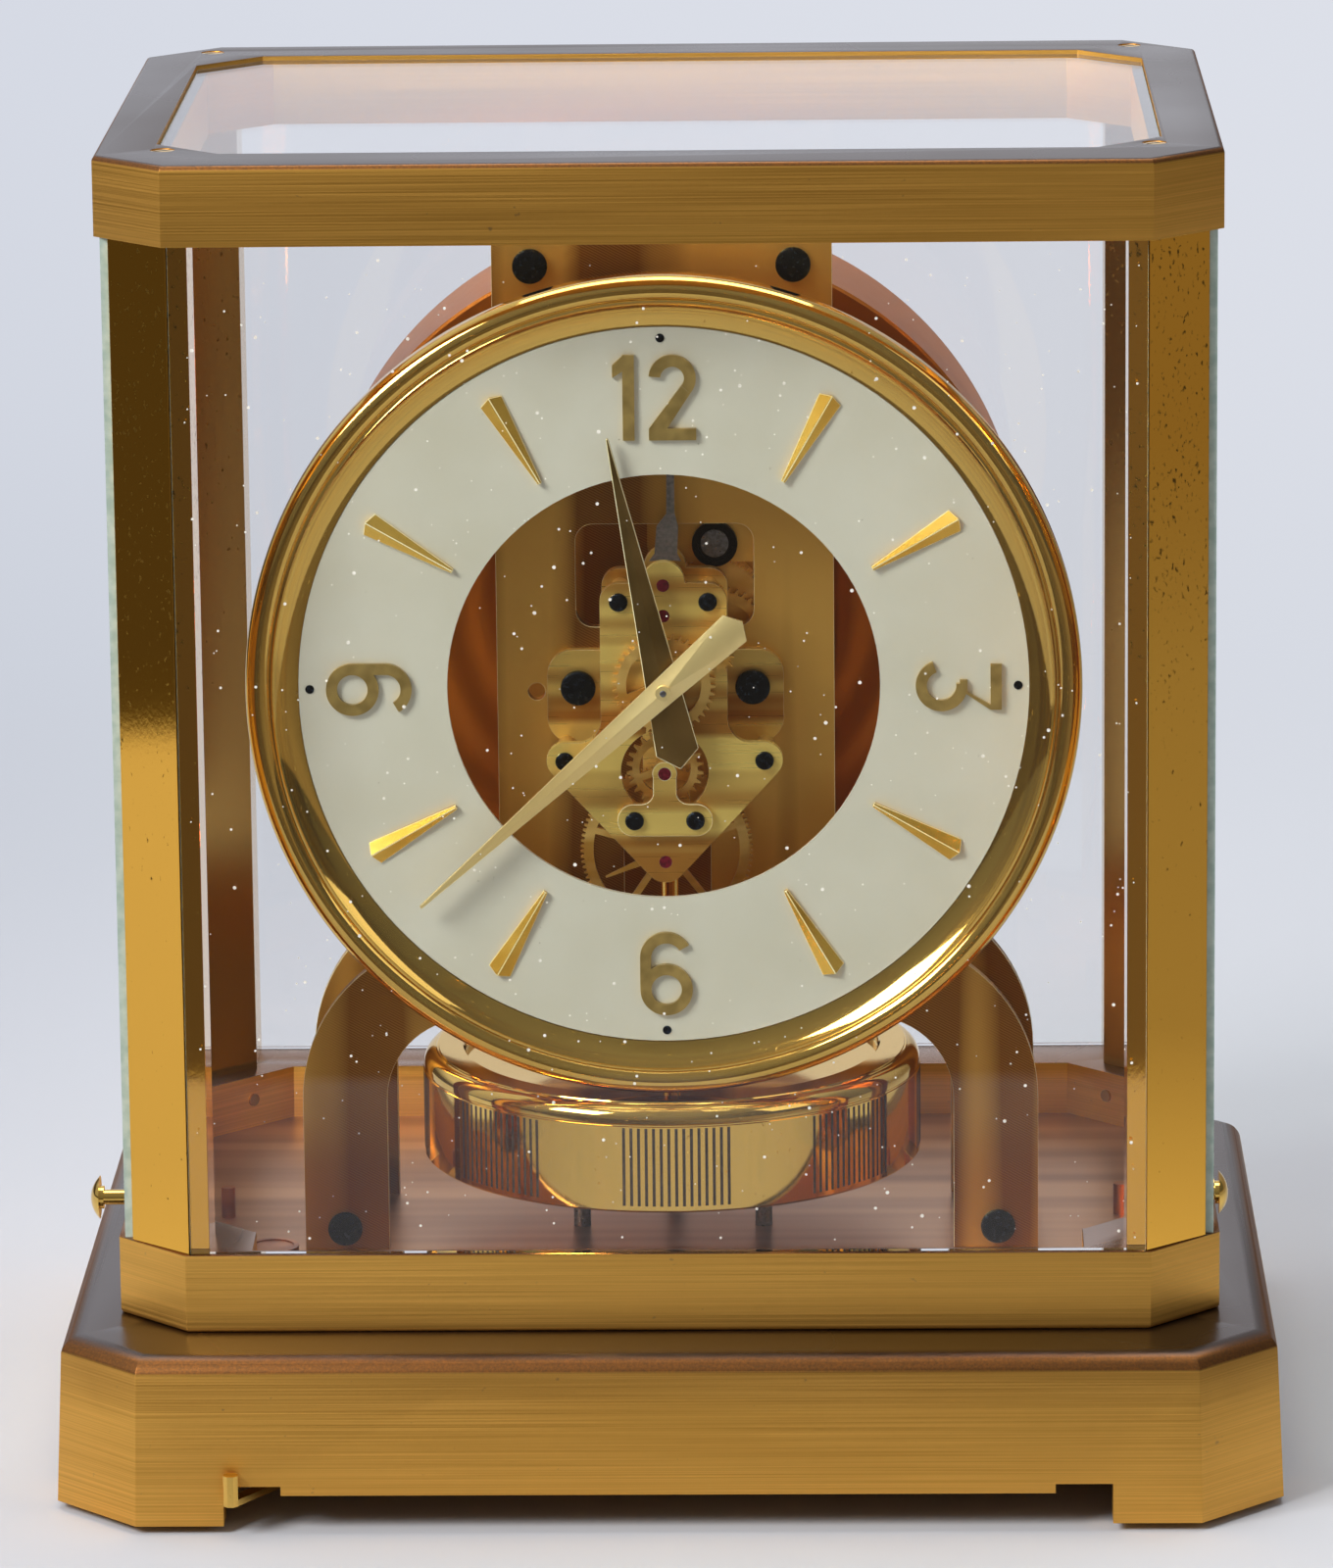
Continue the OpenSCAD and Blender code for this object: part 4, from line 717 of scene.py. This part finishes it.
# %% Turn a profile
def turned(name, profile, stand, material, body, slots, *replaced, steps=180):
    """Turns a closed profile of radius and height in mm about Z and puts it in place with stand."""
    base = bpy.data.meshes.new(name + "_profile")
    base.from_pydata([(r / 1000, 0, h / 1000) for r, h in profile + profile[:1]], [], [])
    mesh = with_nodes(base, lathe, {"Points": len(profile) + 1, "Steps": steps, "Material": material})
    mesh.transform(stand)
    form = bmesh.new()
    form.from_mesh(mesh)
    bmesh.ops.remove_doubles(form, verts=form.verts, dist=1e-7)
    bmesh.ops.dissolve_degenerate(form, edges=form.edges, dist=1e-7)
    bmesh.ops.recalc_face_normals(form, faces=form.faces)
    form.to_mesh(mesh)
    form.free()
    mesh.polygons.foreach_set("use_smooth", [True] * len(mesh.polygons))
    mesh.set_sharp_from_angle(angle=math.radians(24))
    finished(name, mesh, body, slots, *replaced)
    print(name, len(mesh.polygons), "faces, widest", round(2 * max(r for r, h in profile), 1), "mm")


def arc(x, y, r, start, stop, count):
    """Points on an arc, its angles in degrees."""
    return [(x + r * math.cos(a), y + r * math.sin(a)) for a in np.radians(np.linspace(start, stop, count))]


def facing(degrees, y, z):
    """Stands a turned piece up: its axis points forward at 90 degrees, back at -90, from y and z in mm."""
    return Matrix.Translation((0, y / 1000, z / 1000)) @ Matrix.Rotation(math.radians(degrees), 4, "X")


# %% Bezel
DIAL_Z = 139.0
BEZEL_Y = -43.35

bezel_form = [(61.3, 0.0), (70.9, 0.0), (71.1, 0.2)] + arc(68.85, 3.05, 2.25, 0, 146, 20)
bezel_form += [(66.7, 4.35), (66.5, 4.47)] + arc(60.6, 11.3, 9.0, 310.5, 280.3, 18)
bezel_form += [(62.2, 1.3), (61.2, 1.3), (61.2, 0.1)]
turned("turned_bezel", bezel_form, facing(90, BEZEL_Y, DIAL_Z), gilt, "case", "polished_brass", "bezel", steps=256)

# %% [markdown]
# ## Drum
#
# The drum is pressed from sheet, and both its ends have four rings that stiffen them. A ring is
# a wave of 8.4 mm, and 0.56 mm deep, so the rings are a cosine of the radius.

# %% Drum and drum cover
DRUM_Z = 142.7
DRUM_Y, COVER_Y = 11.35, 41.85
FIRST, LAST, PITCH_OF_RINGS, HALF_DEPTH = 24.2, 57.8, 8.4, 0.28

waves = [(r, HALF_DEPTH - HALF_DEPTH * math.cos((r - FIRST) * 2 * math.pi / PITCH_OF_RINGS))
         for r in np.linspace(FIRST, LAST, 57)]
drum_form = [(0, -1.5), (19.5, -1.5), (20, -1.0), (20, 0)] + waves
drum_form += [(62.3, 0), (62.8, 0.5), (62.8, 32), (61.6, 32), (61.6, 1.5), (0, 1.5)]
turned("turned_drum", drum_form, facing(-90, DRUM_Y, DRUM_Z), drum_gilt, "case", "polished_brass", "drum", steps=200)

cover_form = [(0, 0), (61.55, 0), (61.55, 1.3), (61.35, 1.5)] + [(r, 1.5 - h) for r, h in waves[::-1]] + [(0, 1.5)]
turned("turned_drum_cover", cover_form, facing(-90, COVER_Y, DRUM_Z), drum_gilt, "case", "polished_brass",
       "drum_cover", steps=200)

# %% [markdown]
# ## The dot on the hand nut
#
# The end of the hands' steel arbor shows as a bright dot, 1.1 mm wide, in the gilt nut. It turns
# with the minute hand, so it rides on that body and not on the case.

# %% Dot
NUT_Y = -50.93

dot_form = [(0, 0), (0.55, 0), (0.55, 0.1), (0.45, 0.15), (0, 0.18)]
turned("nut_pivot", dot_form, facing(90, NUT_Y, DIAL_Z), steel, "minute", "blued_steel", steps=32)

# %% [markdown]
# ## Pendulum
#
# The torsion pendulum is a heavy polished disc. Its wall carries eight groups of fifteen engraved
# lines, filled dark so that the eye sees it turn. The disc is turned on the same lathe. The lines
# are the thing that repeats, so Geometry Nodes set one thin bar on each angle round the wall.

# %% Disc
ON_WIRE = Matrix.Translation((0, -0.00965, 0.0483))

pendulum_form = [(0, 0), (43.3, 0), (43.7, 0.4), (43.7, 15.2), (43.5, 15.32), (43.5, 15.5), (43.6, 15.7)]
pendulum_form += arc(41.0, 16.1, 2.6, 10, 80, 12)
pendulum_form += [(41.3, 18.8), (41.0, 18.82), (40.9, 19.0), (36.7, 19.0), (36.4, 18.7), (36.4, 17.2), (36.2, 17.0)]
pendulum_form += [(6, 17), (6, 19.8), (5.8, 20), (1.5, 20), (1.5, 49), (0, 49)]
turned("turned_pendulum", pendulum_form, ON_WIRE, gilt, "pendulum", "polished_brass", "pendulum", steps=240)

# %% Engraved lines
kinds = {"Start": "Geometry", "Groups": "Int", "Lines": "Int", "Material": "Material"}
kinds.update({key: "Float" for key in ("Turn", "Pitch", "Radius", "Low", "Height", "Width", "Depth")})
tree, given = new_tree("engraved_lines", kinds, "Made")
count = add(tree, "ShaderNodeMath", {0: given["Groups"], 1: given["Lines"]}, operation="MULTIPLY")
number = add(tree, "GeometryNodeInputIndex")
group = add(tree, "ShaderNodeMath", {0: number, 1: 0.5}, operation="ADD")
group = add(tree, "ShaderNodeMath", {0: group, 1: given["Lines"]}, operation="DIVIDE")
group = add(tree, "ShaderNodeMath", {0: group}, operation="FLOOR")
line = add(tree, "ShaderNodeMath", {0: number, 1: given["Lines"]}, operation="MODULO")
middle = add(tree, "ShaderNodeMath", {0: given["Lines"], 1: 1.0}, operation="SUBTRACT")
middle = add(tree, "ShaderNodeMath", {0: middle, 1: 2.0}, operation="DIVIDE")
degrees = add(tree, "ShaderNodeMath", {0: line, 1: middle}, operation="SUBTRACT")
degrees = add(tree, "ShaderNodeMath", {0: degrees, 1: given["Pitch"]}, operation="MULTIPLY")
apart = add(tree, "ShaderNodeMath", {0: 360.0, 1: given["Groups"]}, operation="DIVIDE")
apart = add(tree, "ShaderNodeMath", {0: group, 1: apart}, operation="MULTIPLY")
degrees = add(tree, "ShaderNodeMath", {0: degrees, 1: apart}, operation="ADD")
degrees = add(tree, "ShaderNodeMath", {0: degrees, 1: given["Turn"]}, operation="ADD")
angle = add(tree, "ShaderNodeMath", {0: degrees, 1: math.pi / 180}, operation="MULTIPLY")
up = add(tree, "ShaderNodeMath", {0: given["Height"], 1: 2.0}, operation="DIVIDE")
up = add(tree, "ShaderNodeMath", {0: given["Low"], 1: up}, operation="ADD")
out = add(tree, "ShaderNodeMath", {0: given["Radius"], 1: -1.0}, operation="MULTIPLY")
start = add(tree, "ShaderNodeCombineXYZ", {"Y": out, "Z": up})
spot = add(tree, "ShaderNodeVectorRotate", {"Vector": start, "Angle": angle}, rotation_type="Z_AXIS")
size = add(tree, "ShaderNodeCombineXYZ", {"X": given["Width"], "Y": given["Depth"], "Z": given["Height"]})
bar = add(tree, "GeometryNodeMeshCube", {"Size": size})
points = add(tree, "GeometryNodeMeshLine", {"Count": count})
points = add(tree, "GeometryNodeSetPosition", {"Geometry": points, "Position": spot})
turns = add(tree, "ShaderNodeCombineXYZ", {"Z": angle})
bars = add(tree, "GeometryNodeInstanceOnPoints", {"Points": points, "Instance": bar, "Rotation": turns})
real = add(tree, "GeometryNodeRealizeInstances", {"Geometry": bars})
made = add(tree, "GeometryNodeSetMaterial", {"Geometry": real, "Material": given["Material"]})
add(tree, "NodeGroupOutput", {"Made": made})

lines = with_nodes(bpy.data.meshes.new("no_points"), tree, {
    "Groups": 8, "Lines": 15, "Turn": 2.0, "Pitch": 1.7, "Radius": 0.04357, "Low": 0.0012,
    "Height": 0.0138, "Width": 0.00052, "Depth": 0.0003, "Material": engraving})
lines.transform(ON_WIRE)
finished("engraved_lines", lines, "pendulum", "polished_brass")
print("engraved lines:", len(lines.polygons) // 6)

# %% [markdown]
# ## Dust on the front pane
#
# The photograph shows a scatter of small pale specks all over the front glass. Geometry Nodes
# scatter points on the pane's face with a fixed seed and set a flat six-sided speck on each, with
# its own size and turn. Most specks are small, so the random size is raised to the third power.

# %% Scatter the dust
tree, given = new_tree("dust_specks", {
    "Pane": "Geometry", "Specks per square metre": "Float", "Radius": "Float", "Least size": "Float",
    "Size range": "Float", "Seed": "Int", "Turn seed": "Int", "Material": "Material"}, "Dust")
points = add(tree, "GeometryNodeDistributePointsOnFaces", {
    "Mesh": given["Pane"], "Density": given["Specks per square metre"], "Seed": given["Seed"]})
speck = add(tree, "GeometryNodeMeshCircle", {"Vertices": 6, "Radius": given["Radius"]}, fill_type="NGON")
upright = add(tree, "GeometryNodeTransform", {"Geometry": speck, "Rotation": (math.radians(90), 0, 0)})
size = add(tree, "FunctionNodeRandomValue", {2: 0.0, 3: 1.0, "Seed": given["Seed"]}, data_type="FLOAT")
size = add(tree, "ShaderNodeMath", {0: size, 1: 3.0}, operation="POWER")
size = add(tree, "ShaderNodeMath", {0: size, 1: given["Size range"]}, operation="MULTIPLY")
size = add(tree, "ShaderNodeMath", {0: given["Least size"], 1: size}, operation="ADD")
spin = add(tree, "FunctionNodeRandomValue", {2: 0.0, 3: 6.28, "Seed": given["Turn seed"]}, data_type="FLOAT")
turns = add(tree, "ShaderNodeCombineXYZ", {"Y": spin})
specks = add(tree, "GeometryNodeInstanceOnPoints", {
    "Points": points, "Instance": upright, "Rotation": turns, "Scale": size})
real = add(tree, "GeometryNodeRealizeInstances", {"Geometry": specks})
made = add(tree, "GeometryNodeSetMaterial", {"Geometry": real, "Material": given["Material"]})
add(tree, "NodeGroupOutput", {"Dust": made})

SIDE, BOTTOM, HIGH = 0.08, 0.046, 0.216
face_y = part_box("front_glass")[0][1]
face_mesh = bpy.data.meshes.new("dusty_face")
face_mesh.from_pydata([(-SIDE, face_y, BOTTOM), (SIDE, face_y, BOTTOM), (SIDE, face_y, HIGH), (-SIDE, face_y, HIGH)],
                      [], [(0, 1, 2, 3)])
specks = with_nodes(face_mesh, tree, {
    "Specks per square metre": 21000.0, "Radius": 0.00026, "Least size": 0.45, "Size range": 0.9,
    "Seed": 5, "Turn seed": 7, "Material": dust})
finished("dust_specks", specks, "case", "clear_glass")
print("specks of dust:", len(specks.polygons))

# %% [markdown]
# ## Give the other solid pieces their finishes
#
# A piece whose shape is already right keeps its mesh and only gets a better material.

# %% Finish by piece
def finish_pieces(material, *names):
    """Puts one material on the named solid pieces."""
    for name in names:
        mesh = nodes[name].data
        mesh.materials.clear()
        mesh.materials.append(material)
    print(material.name, "on", len(names))


finish_pieces(polished_brass, "sill_plugs")
finish_pieces(floor_gilt, "base_plate")
finish_pieces(post_gilt, "floor_posts", "level")
finish_pieces(hand_gilt, "hand_nut")
finish_pieces(gilt, "dial_carrier", "knob_left", "knob_right", "knob_bushes")
finish_pieces(gilt, "lock_lever", "foot_left", "foot_right")
finish_pieces(train_gilt, "hour_wheel", "minute_arbor", "motion_wheel", "third_wheel", "lower_wheel", "pointer",
              "escape_wheel", "barrel", "movement_posts", "bellows")
finish_pieces(plate_gilt, "barrel_bridge")
finish_pieces(blade_steel, "fork_blade")
finish_pieces(blued_steel, "case_screws", "dial_pins")
finish_pieces(steel, "barrel_arbor", "suspension", "lever_pivot", "lift_plate", "foot_rear", "pallet_lever")
finish_pieces(ruby, "jewels")
finish_pieces(dial_paint, "dial")

# %% [markdown]
# ## A dark bush
#
# Through the window of the movement a black bush with a steel end shows on the barrel bridge.
# It is part of the bridge's solid, so its faces are picked by their place and given their own
# two finishes: black on the ring, steel on the round end.

# %% Pick the bush's faces
BUSH_X, BUSH_Z = 0.0086, 0.1598
BUSH_FRONT = -0.02506
RING, END = 0.0041, 0.0025

bushed = nodes["barrel_bridge"].data
bushed.materials.append(black_oxide)
bushed.materials.append(steel)
for face in bushed.polygons:
    reach = math.hypot(face.center.x - BUSH_X, face.center.z - BUSH_Z)
    if face.center.y < BUSH_FRONT and reach < RING:
        face.material_index = 1 if reach > END else 2
print("dark faces on the barrel bridge:", sum(face.material_index == 1 for face in bushed.polygons))
